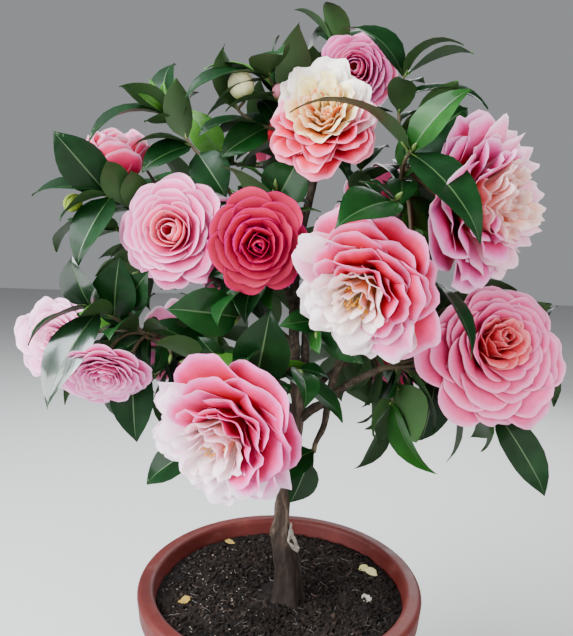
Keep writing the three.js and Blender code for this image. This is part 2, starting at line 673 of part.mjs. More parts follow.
// Pot: a tapered round shell with a banded, rounded rim
function potGeometry() {
  const lip = POT_LIP_ROUND;
  const innerLip = POT_NECK_RADIUS - POT_WALL;
  const profile = [
    [0, 0],
    [POT_BASE_RADIUS, 0],
    [POT_NECK_RADIUS, POT_HEIGHT - POT_RIM_BAND - POT_BAND_STEP],
    [POT_RIM_RADIUS - POT_BAND_DRAFT, POT_HEIGHT - POT_RIM_BAND],
    [POT_RIM_RADIUS, POT_HEIGHT - lip],
    [POT_RIM_RADIUS - POT_LIP_EASE, POT_HEIGHT - POT_LIP_EASE],
    [POT_RIM_RADIUS - lip, POT_HEIGHT],
    [innerLip + lip, POT_HEIGHT],
    [innerLip + POT_LIP_EASE, POT_HEIGHT - POT_LIP_EASE],
    [innerLip, POT_HEIGHT - lip],
    [POT_BASE_RADIUS - POT_WALL, POT_FLOOR],
    [0, POT_FLOOR],
  ];
  return new THREE.LatheGeometry(profile.map(([r, z]) => new THREE.Vector2(r, z)), POT_FACETS)
    .rotateX(Math.PI / 2);
}

// Soil: fills the pot to a little below its lip, flat round the trunk's foot
function soilGeometry() {
  const innerTop = POT_NECK_RADIUS - POT_WALL;
  const innerFoot = POT_BASE_RADIUS - POT_WALL;
  const wallAt = (z) => {
    const part = (z - POT_FLOOR) / (POT_HEIGHT - POT_LIP_ROUND - POT_FLOOR);
    return THREE.MathUtils.lerp(innerFoot, innerTop, part) - 2 * CLEARANCE;
  };
  const floor = POT_FLOOR + CLEARANCE;
  const edge = SOIL_TOP + SOIL_EDGE_RISE;
  const profile = [
    [0, floor],
    [wallAt(floor), floor],
    [wallAt(edge), edge],
    [SOIL_CREST_RADIUS, SOIL_TOP + SOIL_CREST_RISE],
    [SOIL_FLAT_RADIUS, SOIL_TOP],
    [0, SOIL_TOP],
  ];
  return new THREE.LatheGeometry(profile.map(([r, z]) => new THREE.Vector2(r, z)), POT_FACETS)
    .rotateX(Math.PI / 2);
}

// Finishes
const finish = (color, roughness) => new THREE.MeshStandardMaterial({ color, roughness, metalness: 0 });
const FINISHES = {
  pot: finish(0x96493f, 0.5),
  soil: finish(0x2c221c, 0.95),
  trunk: finish(0x6b5f52, 0.85),
  bough: finish(0x5d5a44, 0.8),
  foliage: finish(0x2f5a35, 0.4),
};

// The plant
const shrub = new THREE.Group();

function addPart(name, geometry, material) {
  const part = new THREE.Mesh(geometry, material);
  part.name = name;
  shrub.add(part);
}

addPart('pot', potGeometry(), FINISHES.pot);
addPart('soil', soilGeometry(), FINISHES.soil);
for (const [name, limb] of limbs) {
  addPart(name, geometryOf(limb.body), name === 'trunk' ? FINISHES.trunk : FINISHES.bough);
}
for (const row of MASSES) {
  addPart(row[0], geometryOf(growMass(row)), FINISHES.foliage);
}

export default shrub;
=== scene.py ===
# Potted camellia shrub in full bloom: pot, soil, grafted trunk, boughs, twigs, leaves and blossom.
# Sizes are in millimetres until a mesh is made, and the frame is the solids' own.

import bpy
import math
import numpy as np
from mathutils import Matrix, Vector, noise


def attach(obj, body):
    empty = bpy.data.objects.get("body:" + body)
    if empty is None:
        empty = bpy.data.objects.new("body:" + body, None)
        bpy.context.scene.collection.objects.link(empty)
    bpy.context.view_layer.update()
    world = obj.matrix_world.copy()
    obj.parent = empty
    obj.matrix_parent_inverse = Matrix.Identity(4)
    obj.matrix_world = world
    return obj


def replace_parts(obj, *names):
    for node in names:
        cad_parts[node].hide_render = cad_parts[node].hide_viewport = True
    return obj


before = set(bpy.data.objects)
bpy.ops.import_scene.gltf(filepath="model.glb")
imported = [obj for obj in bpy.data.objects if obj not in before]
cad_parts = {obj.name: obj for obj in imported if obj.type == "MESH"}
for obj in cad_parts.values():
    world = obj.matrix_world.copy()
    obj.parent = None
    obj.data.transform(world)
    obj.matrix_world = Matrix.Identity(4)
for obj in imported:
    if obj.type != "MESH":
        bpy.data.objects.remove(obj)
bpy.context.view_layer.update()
MM = 0.001


# Camera and light

CAMERA_PLACE = (-1.5, -570.0, 572.0)
CAMERA_PITCH = math.radians(7.0)
CAMERA_ROLL = math.radians(1.8)
CAMERA_LENS = 34.0
CAMERA_SENSOR = 36.0
CAMERA_CLIP = (0.01, 50)


def place_camera():
    """The camera, tipped down by its pitch and turned about its own axis by its roll."""
    ahead = Vector((0, math.cos(CAMERA_PITCH), -math.sin(CAMERA_PITCH)))
    level = Vector((1, 0, 0))
    upright = level.cross(ahead)
    right = math.cos(CAMERA_ROLL) * level + math.sin(CAMERA_ROLL) * upright
    up = -math.sin(CAMERA_ROLL) * level + math.cos(CAMERA_ROLL) * upright
    data = bpy.data.cameras.new("studio_camera")
    data.lens = CAMERA_LENS
    data.sensor_width = CAMERA_SENSOR
    data.sensor_fit = "AUTO"
    data.clip_start, data.clip_end = CAMERA_CLIP
    camera = bpy.data.objects.new("studio_camera", data)
    turn = Matrix((right, up, -ahead)).transposed().to_4x4()
    camera.matrix_world = Matrix.Translation(Vector(CAMERA_PLACE) * MM) @ turn
    bpy.context.scene.collection.objects.link(camera)
    bpy.context.scene.camera = camera


# Softboxes: name, place, the point that it looks at, size in metres, watts and colour
SOFTBOXES = [
    ("left", (-1.6, -1.1, 1.3), (0, 0, 0.5), 2.0, 150, (0.95, 0.975, 1.0)),
    ("front_right", (1.0, -1.7, 0.8), (0, 0, 0.5), 2.6, 60, (1.0, 0.98, 0.96)),
    ("overhead", (-0.95, -0.4, 2.0), (0, 0, 0.45), 1.3, 76, (0.86, 0.94, 1.0)),
    ("back", (0.6, 1.4, 1.3), (0, 0, 0.5), 1.2, 34, (0.95, 0.98, 1.0)),
]
ROOM_COLOUR = (0.80, 0.83, 0.86, 1)
ROOM_STRENGTH = 0.36


def place_lights():
    """The softboxes, and the even light of a pale room round them."""
    for name, place, target, size, watts, colour in SOFTBOXES:
        data = bpy.data.lights.new(name, "AREA")
        data.shape = "DISK"
        data.size = size
        data.energy = watts
        data.color = colour
        lamp = bpy.data.objects.new(name, data)
        look = (Vector(target) - Vector(place)).to_track_quat("-Z", "Y")
        lamp.matrix_world = Matrix.Translation(Vector(place)) @ look.to_matrix().to_4x4()
        bpy.context.scene.collection.objects.link(lamp)
    world = bpy.data.worlds.new("pale_room")
    world.use_nodes = True
    backdrop = world.node_tree.nodes["Background"]
    backdrop.inputs["Color"].default_value = ROOM_COLOUR
    backdrop.inputs["Strength"].default_value = ROOM_STRENGTH
    bpy.context.scene.world = world


# Materials

def tone(red, green, blue):
    """A colour read as 0 to 255, as the linear values that shaders take."""
    def linear(value):
        part = value / 255
        return part / 12.92 if part <= 0.04045 else ((part + 0.055) / 1.055) ** 2.4
    return (linear(red), linear(green), linear(blue))


class Finish:
    """A material under construction: its nodes, links and surface shader."""

    def __init__(self, name):
        self.material = bpy.data.materials.new(name)
        self.material.use_nodes = True
        self.tree = self.material.node_tree
        self.surface = self.tree.nodes["Principled BSDF"]

    def node(self, kind, **settings):
        """A new node with its settings."""
        made = self.tree.nodes.new(kind)
        for key, value in settings.items():
            setattr(made, key, value)
        return made

    def link(self, source, target):
        self.tree.links.new(source, target)

    def set(self, **values):
        """Even values for the surface shader's own sockets."""
        for key, value in values.items():
            self.surface.inputs[key.replace("_", " ")].default_value = value

    def coordinates(self, scale=(1, 1, 1), kind="Object"):
        """Places on the object, or on its own map, stretched by a scale."""
        place = self.node("ShaderNodeTexCoord")
        mapping = self.node("ShaderNodeMapping")
        mapping.inputs["Scale"].default_value = scale
        self.link(place.outputs[kind], mapping.inputs["Vector"])
        return mapping.outputs["Vector"]

    def noise(self, size, detail, roughness, scale=(1, 1, 1), kind="Object", distortion=0.0):
        """An uneven value between 0 and 1; a larger size is a finer pattern."""
        texture = self.node("ShaderNodeTexNoise")
        texture.inputs["Scale"].default_value = size
        texture.inputs["Detail"].default_value = detail
        texture.inputs["Roughness"].default_value = roughness
        texture.inputs["Distortion"].default_value = distortion
        self.link(self.coordinates(scale, kind), texture.inputs["Vector"])
        return texture.outputs["Fac"]

    def ramp(self, factor, stops):
        """A colour for a value, by a row of stops: each a value and its colour."""
        ramp = self.node("ShaderNodeValToRGB")
        elements = ramp.color_ramp.elements
        while len(elements) < len(stops):
            elements.new(0.5)
        for element, (position, colour) in zip(elements, stops):
            element.position = position
            element.color = (*colour, 1)
        self.link(factor, ramp.inputs["Fac"])
        return ramp.outputs["Color"]

    def mixed(self, factor, first, second):
        """A share, from 0 to 1, of a second colour in a first one; each may be a socket."""
        mix = self.node("ShaderNodeMix", data_type="RGBA")
        colours = [socket for socket in mix.inputs if socket.type == "RGBA"]
        self.link(factor, mix.inputs["Factor"])
        for value, socket in zip((first, second), colours):
            if isinstance(value, tuple):
                socket.default_value = (*value, 1)
            else:
                self.link(value, socket)
        return next(socket for socket in mix.outputs if socket.type == "RGBA")

    def ranged(self, value, bounds, results):
        """A value that runs between two bounds, as one that runs between two results."""
        mapped = self.node("ShaderNodeMapRange")
        for name, number in zip(("From Min", "From Max", "To Min", "To Max"), (*bounds, *results)):
            mapped.inputs[name].default_value = number
        self.link(value, mapped.inputs["Value"])
        return mapped.outputs["Result"]

    def colour(self, source):
        self.link(source, self.surface.inputs["Base Color"])

    def rough(self, source):
        self.link(source, self.surface.inputs["Roughness"])

    def bump(self, height, strength, distance):
        bump = self.node("ShaderNodeBump")
        bump.inputs["Strength"].default_value = strength
        bump.inputs["Distance"].default_value = distance
        self.link(height, bump.inputs["Height"])
        self.link(bump.outputs["Normal"], self.surface.inputs["Normal"])


def pot_finish():
    """Dull brownish red plastic with pale dust on it."""
    finish = Finish("pot_plastic")
    blotches = finish.noise(9, 5, 0.6)
    red = finish.ramp(blotches, [(0.3, tone(64, 17, 14)), (0.52, tone(84, 26, 22)),
                                 (0.75, tone(102, 38, 33))])
    dust = finish.noise(38, 6, 0.7, scale=(1, 1, 2.2))
    dusty = finish.ranged(dust, (0.54, 0.76), (0, 0.3))
    finish.colour(finish.mixed(dusty, red, tone(136, 92, 82)))
    finish.rough(finish.ranged(dust, (0.3, 0.7), (0.5, 0.68)))
    finish.set(Specular_IOR_Level=0.3)
    finish.bump(finish.noise(160, 3, 0.6, scale=(1, 1, 0.25)), strength=0.25, distance=0.0006)
    return finish.material


def soil_finish(name, dark, middle, light, speck):
    """Dark lumps with pale grains, in damper and drier patches."""
    finish = Finish(name)
    crumbs = finish.noise(150, 8, 0.68)
    patches = finish.noise(14, 3, 0.5)
    darkening = finish.ranged(patches, (0.35, 0.62), (0.75, 0))
    pale = finish.ramp(crumbs, [(0.3, dark), (0.55, middle), (0.74, light), (0.8, speck)])
    finish.colour(finish.mixed(darkening, pale, dark))
    finish.set(Roughness=0.95, Specular_IOR_Level=0.2)
    finish.bump(finish.noise(420, 6, 0.7), strength=1.0, distance=0.002)
    return finish.material


# Heights in metres, from the soil up, between which the darker bark at the foot gives way to its own
# colour
DARK_FOOT_HEIGHTS = (0.276, 0.302)


def bark_finish(name, dark, middle, light, stretch, size, darkening=0.0):
    """Streaked bark with pale patches, darker towards the soil."""
    finish = Finish(name)
    streaks = finish.noise(size, 6, 0.62, scale=stretch, distortion=0.6)
    patches = finish.noise(34, 3, 0.5)
    grain = finish.ramp(streaks, [(0.28, dark), (0.5, middle), (0.72, light)])
    pale = finish.ranged(patches, (0.52, 0.68), (0, 0.5))
    height = finish.node("ShaderNodeSeparateXYZ")
    finish.link(finish.coordinates(), height.inputs["Vector"])
    # Darker by the given share at the foot, fading out between the two heights
    darker_foot = finish.ranged(height.outputs["Z"], DARK_FOOT_HEIGHTS, (darkening, 0))
    finish.colour(finish.mixed(darker_foot, finish.mixed(pale, grain, light), dark))
    finish.rough(finish.ranged(streaks, (0.2, 0.8), (0.92, 0.72)))
    finish.set(Specular_IOR_Level=0.2)
    finish.bump(streaks, strength=0.7, distance=0.0012)
    return finish.material


def leaf_finish(name, colour, roughness, coat):
    """A blade: its colour with a paler and a darker cloud in it, and side veins pressed into it."""
    finish = Finish(name)
    clouds = finish.noise(46, 3, 0.5)
    darker = tuple(part * 0.7 for part in colour)
    paler = tuple(min(part * 1.4 + 0.002, 1) for part in colour)
    finish.colour(finish.ramp(clouds, [(0.32, darker), (0.5, colour), (0.7, paler)]))
    finish.set(Roughness=roughness, Specular_IOR_Level=0.04 + 0.4 * coat,
               Coat_Weight=coat, Coat_Roughness=0.14)
    veins = finish.node("ShaderNodeTexWave", wave_type="BANDS", bands_direction="DIAGONAL")
    veins.inputs["Scale"].default_value = 3.2
    veins.inputs["Distortion"].default_value = 1.2
    finish.link(finish.coordinates(kind="UV"), veins.inputs["Vector"])
    finish.bump(veins.outputs["Fac"], strength=0.1, distance=0.0005)
    return finish.material


def petal_finish():
    """Petals take their own colour from the mesh, with fine veins along them."""
    finish = Finish("petal")
    own = finish.node("ShaderNodeAttribute", attribute_type="GEOMETRY", attribute_name="petal_tone")
    veins = finish.noise(3, 2, 0.5, scale=(16, 1.4, 1), kind="UV")
    faint = finish.ranged(veins, (0.35, 0.65), (0.95, 1.04))
    veined = finish.node("ShaderNodeVectorMath", operation="SCALE")
    finish.link(own.outputs["Color"], veined.inputs[0])
    finish.link(faint, veined.inputs["Scale"])
    finish.colour(veined.outputs["Vector"])
    finish.set(Roughness=0.55, Specular_IOR_Level=0.2, Subsurface_Weight=0.35,
               Subsurface_Radius=(1.0, 0.45, 0.4), Subsurface_Scale=0.005)
    finish.bump(veins, strength=0.16, distance=0.0004)
    return finish.material


def plain_finish(name, colour, roughness, spread=0.2, size=90):
    """One colour that clouds over a little: spread is how far, size how often."""
    finish = Finish(name)
    clouds = finish.noise(size, 3, 0.5)
    darker = tuple(part * (1 - spread) for part in colour)
    paler = tuple(min(part * (1 + spread), 1) for part in colour)
    finish.colour(finish.ramp(clouds, [(0.3, darker), (0.5, colour), (0.7, paler)]))
    finish.set(Roughness=roughness)
    return finish.material


# Sizes, the same as the solids'

POT_HEIGHT = 240
POT_BASE_RADIUS = 95
POT_NECK_RADIUS = 129
POT_RIM_RADIUS = 140
POT_RIM_BAND = 24
POT_WALL = 5
POT_FLOOR = 6
POT_LIP_ROUND = 5
POT_BAND_STEP = 3
POT_BAND_DRAFT = 2
SOIL_TOP = 222
SOIL_EDGE_RISE = 3
SOIL_CREST_RISE = 5
SOIL_CREST_RADIUS = 84
SOIL_FLAT_RADIUS = 42
CLEARANCE = 0.3
TRUNK_TOP = 454

# Trunk: rootstock, graft swelling and scion, as spine points with radii
TRUNK_SPINE = [
    (7.6, -9, 222.3, 17.5), (7.6, -9, 232, 14.6), (7.2, -9, 252, 12.9), (4.5, -9, 271, 12.2),
    (0.2, -8, 286, 9.8), (-0.4, -7, 301, 7.6), (0.4, -6, 318, 7), (5, -4, 353, 6.8),
    (11, -2, 392, 6.5), (12.8, -1, 425, 7.2), (12.2, 0, 454, 9.6),
]

# Boughs: the spine of each, and its radii at foot and tip
ABOVE_FORK = TRUNK_TOP + CLEARANCE
BOUGHS = [
    ("bough_top", [(8, 0, ABOVE_FORK), (6, 0, 495), (6, 4, 560), (16, 4, 612), (22, -2, 640)], 5.5, 3.2),
    ("bough_centre", [(18, 2, ABOVE_FORK), (17.5, 4, 490), (19, 4, 515), (34, -10, 540)], 4, 2.8),
    ("bough_centre_left", [(6, 0, 505), (-2, -14, 530), (-14, -30, 552)], 3, 2.2),
    ("bough_left_high", [(6, 1, 476), (-20, 2, 498), (-60, -2, 530), (-96, -6, 556)], 3.8, 2.6),
    ("bough_left_low", [(12.8, -1, 428), (-20, -6, 446), (-70, -14, 468), (-120, -22, 484)], 4, 2.6),
    ("bough_front_low", [(10.5, -2, 390), (-4, -12, 413), (-12, -26, 432), (-18, -42, 446)], 3.4, 2.4),
    ("bough_right",
     [(12.5, -1, 402), (26, -9, 416), (40, -18, 427), (57, -23, 444), (84, -28, 460)], 5, 3),
    ("bough_right_high",
     [(40, -18, 427), (46, -20, 455), (62, -26, 500), (88, -34, 552), (93, -44, 600)], 4, 2.8),
    ("bough_spur", [(40, -18, 427), (37, -20, 404), (30, -22, 388)], 3.6, 2.4),
    ("bough_back_top", [(6, 4, 560), (2, 24, 596), (0, 44, 632)], 3, 2.2),
    ("bough_back_right", [(18, 4, 500), (40, 34, 530), (66, 60, 560)], 3.2, 2.4),
    ("bough_back_left", [(12.6, 0, 442), (-10, 34, 482), (-44, 56, 524)], 3.6, 2.4),
    ("bough_back_low", [(12.4, -1, 415), (44, 34, 440), (78, 60, 458)], 3.6, 2.4),
    ("bough_back_side", [(12, -1, 409), (-24, 28, 430), (-72, 50, 452)], 3.6, 2.4),
]

# Blooms: name, mass, middle, radius, where it faces, and its form
BLOOMS = [
    ("peach", "foliage_top", (21, -72, 674), 55, (-0.25, -0.9, 0.3), "fan"),
    ("mauve", "foliage_top", (57, -18, 722), 36, (-0.25, -0.85, -0.2), "spiral"),
    ("ruffled", "foliage_right_high", (152, -75, 611), 76, (0.66, -0.75, 0), "ruffle"),
    ("rosette", "foliage_right_low", (181, -50, 478), 68, (0.2, -0.93, 0.25), "rosette"),
    ("cream", "foliage_centre", (57, -120, 543), 62, (-0.35, -0.87, -0.35), "layered"),
    ("crimson", "foliage_centre_left", (-27, -84, 574), 43, (0.05, -0.97, -0.05), "round"),
    ("blush", "foliage_left_high", (-103, -48, 580), 48, (-0.15, -0.97, 0.1), "spiral"),
    ("goblet", "foliage_left_high", (-158, -12, 648), 30, (0.05, -0.35, 0.93), "cup"),
    ("shell", "foliage_left_low", (-212, -20, 480), 44, (-0.35, -0.93, 0.1), "rosette"),
    ("hanging", "foliage_left_low", (-154, -72, 460), 42, (0.05, -0.75, -0.66), "rosette"),
    ("frilled", "foliage_front_low", (-44, -112, 425), 68, (-0.35, -0.87, -0.34), "layered"),
    ("back_rosette", "foliage_back_top", (-8, 94, 692), 48, (-0.1, 0.75, 0.6), "rosette"),
    ("back_blush", "foliage_back_right", (104, 116, 606), 58, (0.45, 0.85, 0.2), "spiral"),
    ("back_ruffled", "foliage_back_left", (-84, 116, 570), 54, (-0.45, 0.87, 0.05), "layered"),
    ("back_mauve", "foliage_back_low", (124, 110, 462), 52, (0.6, 0.75, -0.2), "round"),
    ("back_shell", "foliage_back_side", (-122, 104, 458), 50, (-0.6, 0.75, -0.15), "rosette"),
]

# How deep a bloom is behind its middle, as a part of its radius: a cupped one and an open one
CUP_BACK = 1.0
OPEN_BACK = 0.46

# Buds: the mass, the middle, the radius, the way the tip points, and its colour
BUDS = [
    ("foliage_top", (-46, -40, 704), 11, (-0.3, -0.3, 0.9), (246, 240, 204)),
    ("foliage_top", (-14, -36, 701), 6, (0.1, -0.4, 0.9), (232, 170, 176)),
    ("foliage_left_high", (-195, -26, 603), 8, (-0.7, -0.3, -0.65), (168, 182, 96)),
]

# Masses: the bough whose tip carries each, its hub, the tips of its leafy shoots, and its seed
MASSES = [
    ("foliage_top", "bough_top", (28, -6, 664),
     [(36, 0, 752), (-24, -34, 716), (8, 26, 730), (-52, -24, 690), (64, 22, 700)], 3),
    ("foliage_centre", "bough_centre", (52, -36, 548),
     [(77, -116, 608), (24, -70, 500), (70, -40, 500)], 5),
    ("foliage_centre_left", "bough_centre_left", (-20, -38, 566),
     [(-114, -20, 684), (-14, -50, 618), (-44, -56, 506), (-62, -30, 560)], 7),
    ("foliage_left_high", "bough_left_high", (-108, -8, 572),
     [(-172, -28, 616), (-140, 10, 640), (-190, -4, 584), (-150, 24, 540), (-96, 30, 612)], 11),
    ("foliage_left_low", "bough_left_low", (-136, -26, 488),
     [(-176, -46, 512), (-150, -34, 512), (-104, -40, 470), (-150, -44, 446), (-170, 6, 470)], 35),
    ("foliage_front_low", "bough_front_low", (-22, -52, 450),
     [(-34, -62, 470), (-84, -60, 470), (10, -70, 466), (-66, -60, 398)], 17),
    ("foliage_right_low", "bough_right", (104, -30, 464),
     [(136, -28, 438), (98, -34, 430), (197, -28, 424), (160, 4, 520), (220, 0, 490)], 19),
    ("foliage_right_high", "bough_right_high", (92, -52, 632),
     [(90, -50, 716), (90, -98, 646), (120, -40, 690), (112, -86, 548), (160, -20, 640),
      (130, 4, 590)], 9),
    ("foliage_spur", "bough_spur", (28, -23, 378), [(20, -30, 362)], 250),
    ("foliage_back_top", "bough_back_top", (0, 50, 648),
     [(-40, 60, 690), (40, 76, 690), (-14, 60, 722), (-70, 40, 656)], 31),
    ("foliage_back_right", "bough_back_right", (74, 66, 572),
     [(70, 60, 652), (146, 60, 616), (120, 76, 556), (60, 110, 560), (150, 80, 640)], 37),
    ("foliage_back_left", "bough_back_left", (-54, 62, 536),
     [(-50, 70, 620), (-120, 60, 610), (-20, 110, 520), (-140, 50, 560)], 41),
    ("foliage_back_low", "bough_back_low", (88, 66, 462),
     [(60, 100, 440), (150, 60, 440), (110, 70, 400), (170, 56, 500), (90, 120, 510)], 43),
    ("foliage_back_side", "bough_back_side", (-84, 56, 456),
     [(-60, 90, 430), (-140, 50, 430), (-100, 60, 392), (-176, 50, 480), (-80, 100, 490)], 47),
]

# Leading leaves: the mass, base, tip, width, where the upper face looks, the arch and the finish
LEADING_LEAVES = [
    ("foliage_right_high", (86, -95, 647), (-2, -140, 668), 26, (0, -0.2, 1), 0.16, 0),
    ("foliage_right_high", (88, -105, 640), (133, -150, 580), 34, (0.2, -0.9, 0.35), 0.1, 0),
    ("foliage_right_high", (91, -75, 650), (143, -60, 690), 34, (-0.2, -0.9, 0.4), 0.05, 0),
    ("foliage_right_high", (85, -55, 697), (161, -60, 691), 30, (0, -0.4, 0.9), 0.12, 0),
    ("foliage_right_high", (88, -50, 720), (40, -44, 754), 30, (0.3, -0.7, 0.65), 0.16, 0),
    ("foliage_right_high", (89, -50, 717), (128, -84, 731), 26, (0, -0.3, 1), 0.2, 0),
    ("foliage_centre", (77, -126, 610), (30, -172, 586), 34, (0, -0.75, 0.65), 0.06, 1),
    ("foliage_top", (-20, -34, 722), (-92, -58, 690), 28, (0, -0.4, 0.9), 0.14, 0),
    ("foliage_top", (40, 0, 752), (24, -44, 774), 26, (0.1, -0.5, 0.85), 0.1, 0),
    ("foliage_top", (-25, -26, 691), (-79, -50, 667), 26, (0, -0.4, 1), 0.1, 0),
    ("foliage_top", (-23, -20, 677), (-62, -40, 648), 28, (0.2, -0.8, 0.5), 0.06, 1),
    ("foliage_centre_left", (-110, -26, 683), (-176, -45, 656), 34, (0, -0.4, 1), 0.18, 0),
    ("foliage_centre_left", (-95, -16, 651), (-130, -46, 632), 30, (0, -0.7, 0.7), 0.08, 0),
    ("foliage_centre_left", (-91, -16, 655), (-138, -50, 652), 24, (0, -0.2, 1), 0.12, 1),
    ("foliage_centre_left", (-86, -16, 647), (-57, -46, 612), 32, (0, -0.9, 0.4), 0.05, 0),
    ("foliage_centre_left", (-45, -60, 502), (-98, -88, 518), 38, (0, -0.9, 0.3), 0.05, 1),
    ("foliage_left_high", (-180, -30, 623), (-222, -50, 609), 26, (0.1, -0.4, 1), 0.08, 0),
    ("foliage_left_high", (-161, -30, 618), (-202, -52, 660), 36, (0, -0.95, 0.3), 0.06, 0),
    ("foliage_left_high", (-160, -36, 606), (-181, -62, 550), 34, (-0.3, -0.9, 0.2), 0.06, 0),
    ("foliage_centre_left", (-18, -46, 606), (4, -52, 644), 38, (0, -0.95, 0.3), 0.04, 1),
    ("foliage_front_low", (-30, -64, 446), (-15, -72, 514), 44, (0.1, -1, 0.1), 0.05, 0),
    ("foliage_left_low", (-146, -32, 470), (-135, -42, 388), 36, (0, -1, 0), 0.05, 0),
    ("foliage_left_low", (-182, -48, 502), (-184, -66, 554), 34, (-0.3, -0.8, 0.5), 0.06, 6),
    ("foliage_left_low", (-156, -38, 500), (-146, -56, 556), 36, (0.1, -0.9, 0.4), 0.06, 0),
    ("foliage_left_low", (-152, -40, 508), (-122, -56, 544), 28, (0.3, -0.8, 0.4), 0.06, 0),
    ("foliage_left_low", (-166, -52, 502), (-193, -104, 436), 35, (-0.2, -0.85, 0.4), 0.08, 6),
    ("foliage_right_low", (196, -34, 420), (240, -48, 352), 32, (0.2, -0.95, 0.1), 0.06, 0),
    ("foliage_right_low", (137, -26, 452), (128, -26, 392), 34, (0.1, -1, 0.1), 0.04, 0),
    ("foliage_right_high", (115, -100, 550), (141, -128, 494), 24, (0.7, -0.5, 0.5), 0.1, 0),
    ("foliage_spur", (26, -26, 370), (8, -46, 338), 30, (0.3, -0.9, 0.1), 0.04, 0),
]

# Thin young leaves at a growing tip: the mass, the foot, and the tips of the leaves
YOUNG_SHOOTS = [
    ("foliage_centre_left", (-114, -20, 684),
     [(-137, -30, 706), (-128, -26, 712), (-117, -18, 712), (-108, -22, 704), (-134, -38, 696)]),
]
YOUNG_WIDTH = 7

# The rule for leaves: their size and stand, how far apart they keep, and how one is tried again
LEAF_SHAPE = 0.42
LEAF_FOLD = 0.22
LEAF_ARCH = (0.04, 0.14)
LEAF_SINK = 3
LEAF_TURN = 2.399963
LEAF_DROOP = 0.35
LEAF_SKYWARD = 0.9
LEAF_TWIST = 0.3
LEAFY_LENGTH = 62
LEAVES_AT_TIP = 2
SHOOT_SPREAD = (0.5, 1.15)
LEAVES_UNDER_BLOOM = 4
UNDER_BLOOM_SPREAD = (1.2, 1.7)
LEAF_TRIES = 8
TRY_TURN = 0.9
TRY_SHRINK = 0.07
LEAF_TO_LIMB = 5

# Two crops of leaves: how long they are, the step between them and the gap that they keep
FULL_LEAVES = {"length": (68, 92), "step": 15, "gap": 19}
SMALL_LEAVES = {"length": (48, 72), "step": 9, "gap": 12}

# Stems and twigs
STEM_TIP_RADIUS = 2.4
STEM_RINGS = 3
STEM_BRANCHING = 0.8
TWIG_RADIUS = (2, 1.3)
TWIG_RINGS = 2
BLOOM_STALK_RADIUS = 1.7
BLOOM_STEP = 5
BLOOM_SINK = 0.12
BEND_REACH = 0.4
CROWN_MIDDLE = (5, 0, 540)

# Room round each bloom and each mass
SPACE_MARGIN = 0.8
BLOOM_SPACE = 6
SHOOT_SPACE = 34
HUB_SPACE = 22
GUARD_FRONT = 0.4
GUARD_RIM = -0.1
GUARD_SIDE = 0.97

# A petal that leaves its mass's room is drawn in, a step at a time
DRAW_IN = 0.96
DRAW_IN_STEPS = 24


# Vectors, paths and seeded numbers

DRAW_FACTOR = 1664525
DRAW_SHIFT = 1013904223
DRAW_RANGE = 2 ** 32

# A phase anywhere in a wave
ANY_PHASE = (0, 6.28)

# Seeds of the blooms and the buds, one after another, and of what lies on the soil
BLOOM_SEED = 101
BUD_SEED = 901
LITTER_SEED = 4242
CRUMB_SEED = 7

# A mass draws the looks of its leaves from a second row of numbers, seeded from its own seed
STYLE_FACTOR = 7919
STYLE_SHIFT = 11


def seeded(seed):
    """Numbers between two bounds, the same on every run."""
    state = seed

    def number(low, high):
        nonlocal state
        state = (state * DRAW_FACTOR + DRAW_SHIFT) % DRAW_RANGE
        return low + (high - low) * (state / DRAW_RANGE)
    return number


# A way that is more upright than this takes another one as its helper
UPRIGHT_FACE = 0.95
UPRIGHT_LIMB = 0.9


def at(place):
    return np.array(place, dtype=float)


def unit(vector):
    return vector / np.linalg.norm(vector)


def even_turns(count):
    """Turns at even steps all the way round."""
    return np.linspace(0, 2 * math.pi, count, endpoint=False)


def rows_of(x, y, z):
    """Grids of three coordinates as one row for each point."""
    return np.stack([x, y, z], axis=-1).reshape(-1, 3)


def smooth(value, low, high):
    """0 up to a low bound, 1 from a high one, and an easy slope between."""
    part = np.clip((value - low) / (high - low), 0, 1)
    return part * part * (3 - 2 * part)


def facing_frame(facing):
    """Right, top and front directions of something that faces one way."""
    front = unit(at(facing))
    up = at((0, 0, 1)) if abs(front[2]) < UPRIGHT_FACE else at((0, 1, 0))
    top = unit(up - front * up.dot(front))
    return np.cross(top, front), top, front


def spine(corners, steps):
    """A smooth path through the corners, in even steps from corner to corner."""
    corners = [at(corner) for corner in corners]
    last = len(corners) - 1
    ends = [2 * corners[0] - corners[1]] + corners + [2 * corners[-1] - corners[-2]]
    path = []
    for step in range(steps + 1):
        place = last * step / steps
        span = min(int(place), last - 1)
        part = place - span
        before, start, end, after = ends[span:span + 4]
        leaving, arriving = 0.5 * (end - before), 0.5 * (after - start)
        path.append(start + leaving * part
                    + (-3 * start + 3 * end - 2 * leaving - arriving) * part ** 2
                    + (2 * start - 2 * end + leaving + arriving) * part ** 3)
    return np.array(path)


def bend_path(start, leaving, end, arriving, rings):
    """A path that leaves one place one way and reaches another place another way."""
    reach = np.linalg.norm(end - start) * BEND_REACH
    part = np.linspace(0, 1, rings + 1)[:, None]
    rest = 1 - part
    return (rest ** 3 * start + 3 * rest ** 2 * part * (start + leaving * reach)
            + 3 * rest * part ** 2 * (end - arriving * reach) + part ** 3 * end)


def back_along(path, length):
    """The place that lies a given length back from a path's tip, and the way the path runs there."""
    left, index = length, len(path) - 1
    while index > 1 and left > np.linalg.norm(path[index] - path[index - 1]):
        left -= np.linalg.norm(path[index] - path[index - 1])
        index -= 1
    along = path[index] - path[index - 1]
    span = np.linalg.norm(along)
    along = along / span
    return path[index] - along * min(left, span), along


def nearest_on(path, point):
    """The place on a path nearest to a point."""
    starts, ends = path[:-1], path[1:]
    spans = ends - starts
    part = np.clip(((point - starts) * spans).sum(1) / (spans ** 2).sum(1), 0, 1)
    places = starts + spans * part[:, None]
    gaps = np.linalg.norm(places - point, axis=1)
    best = int(gaps.argmin())
    return places[best], gaps[best]


# Meshes

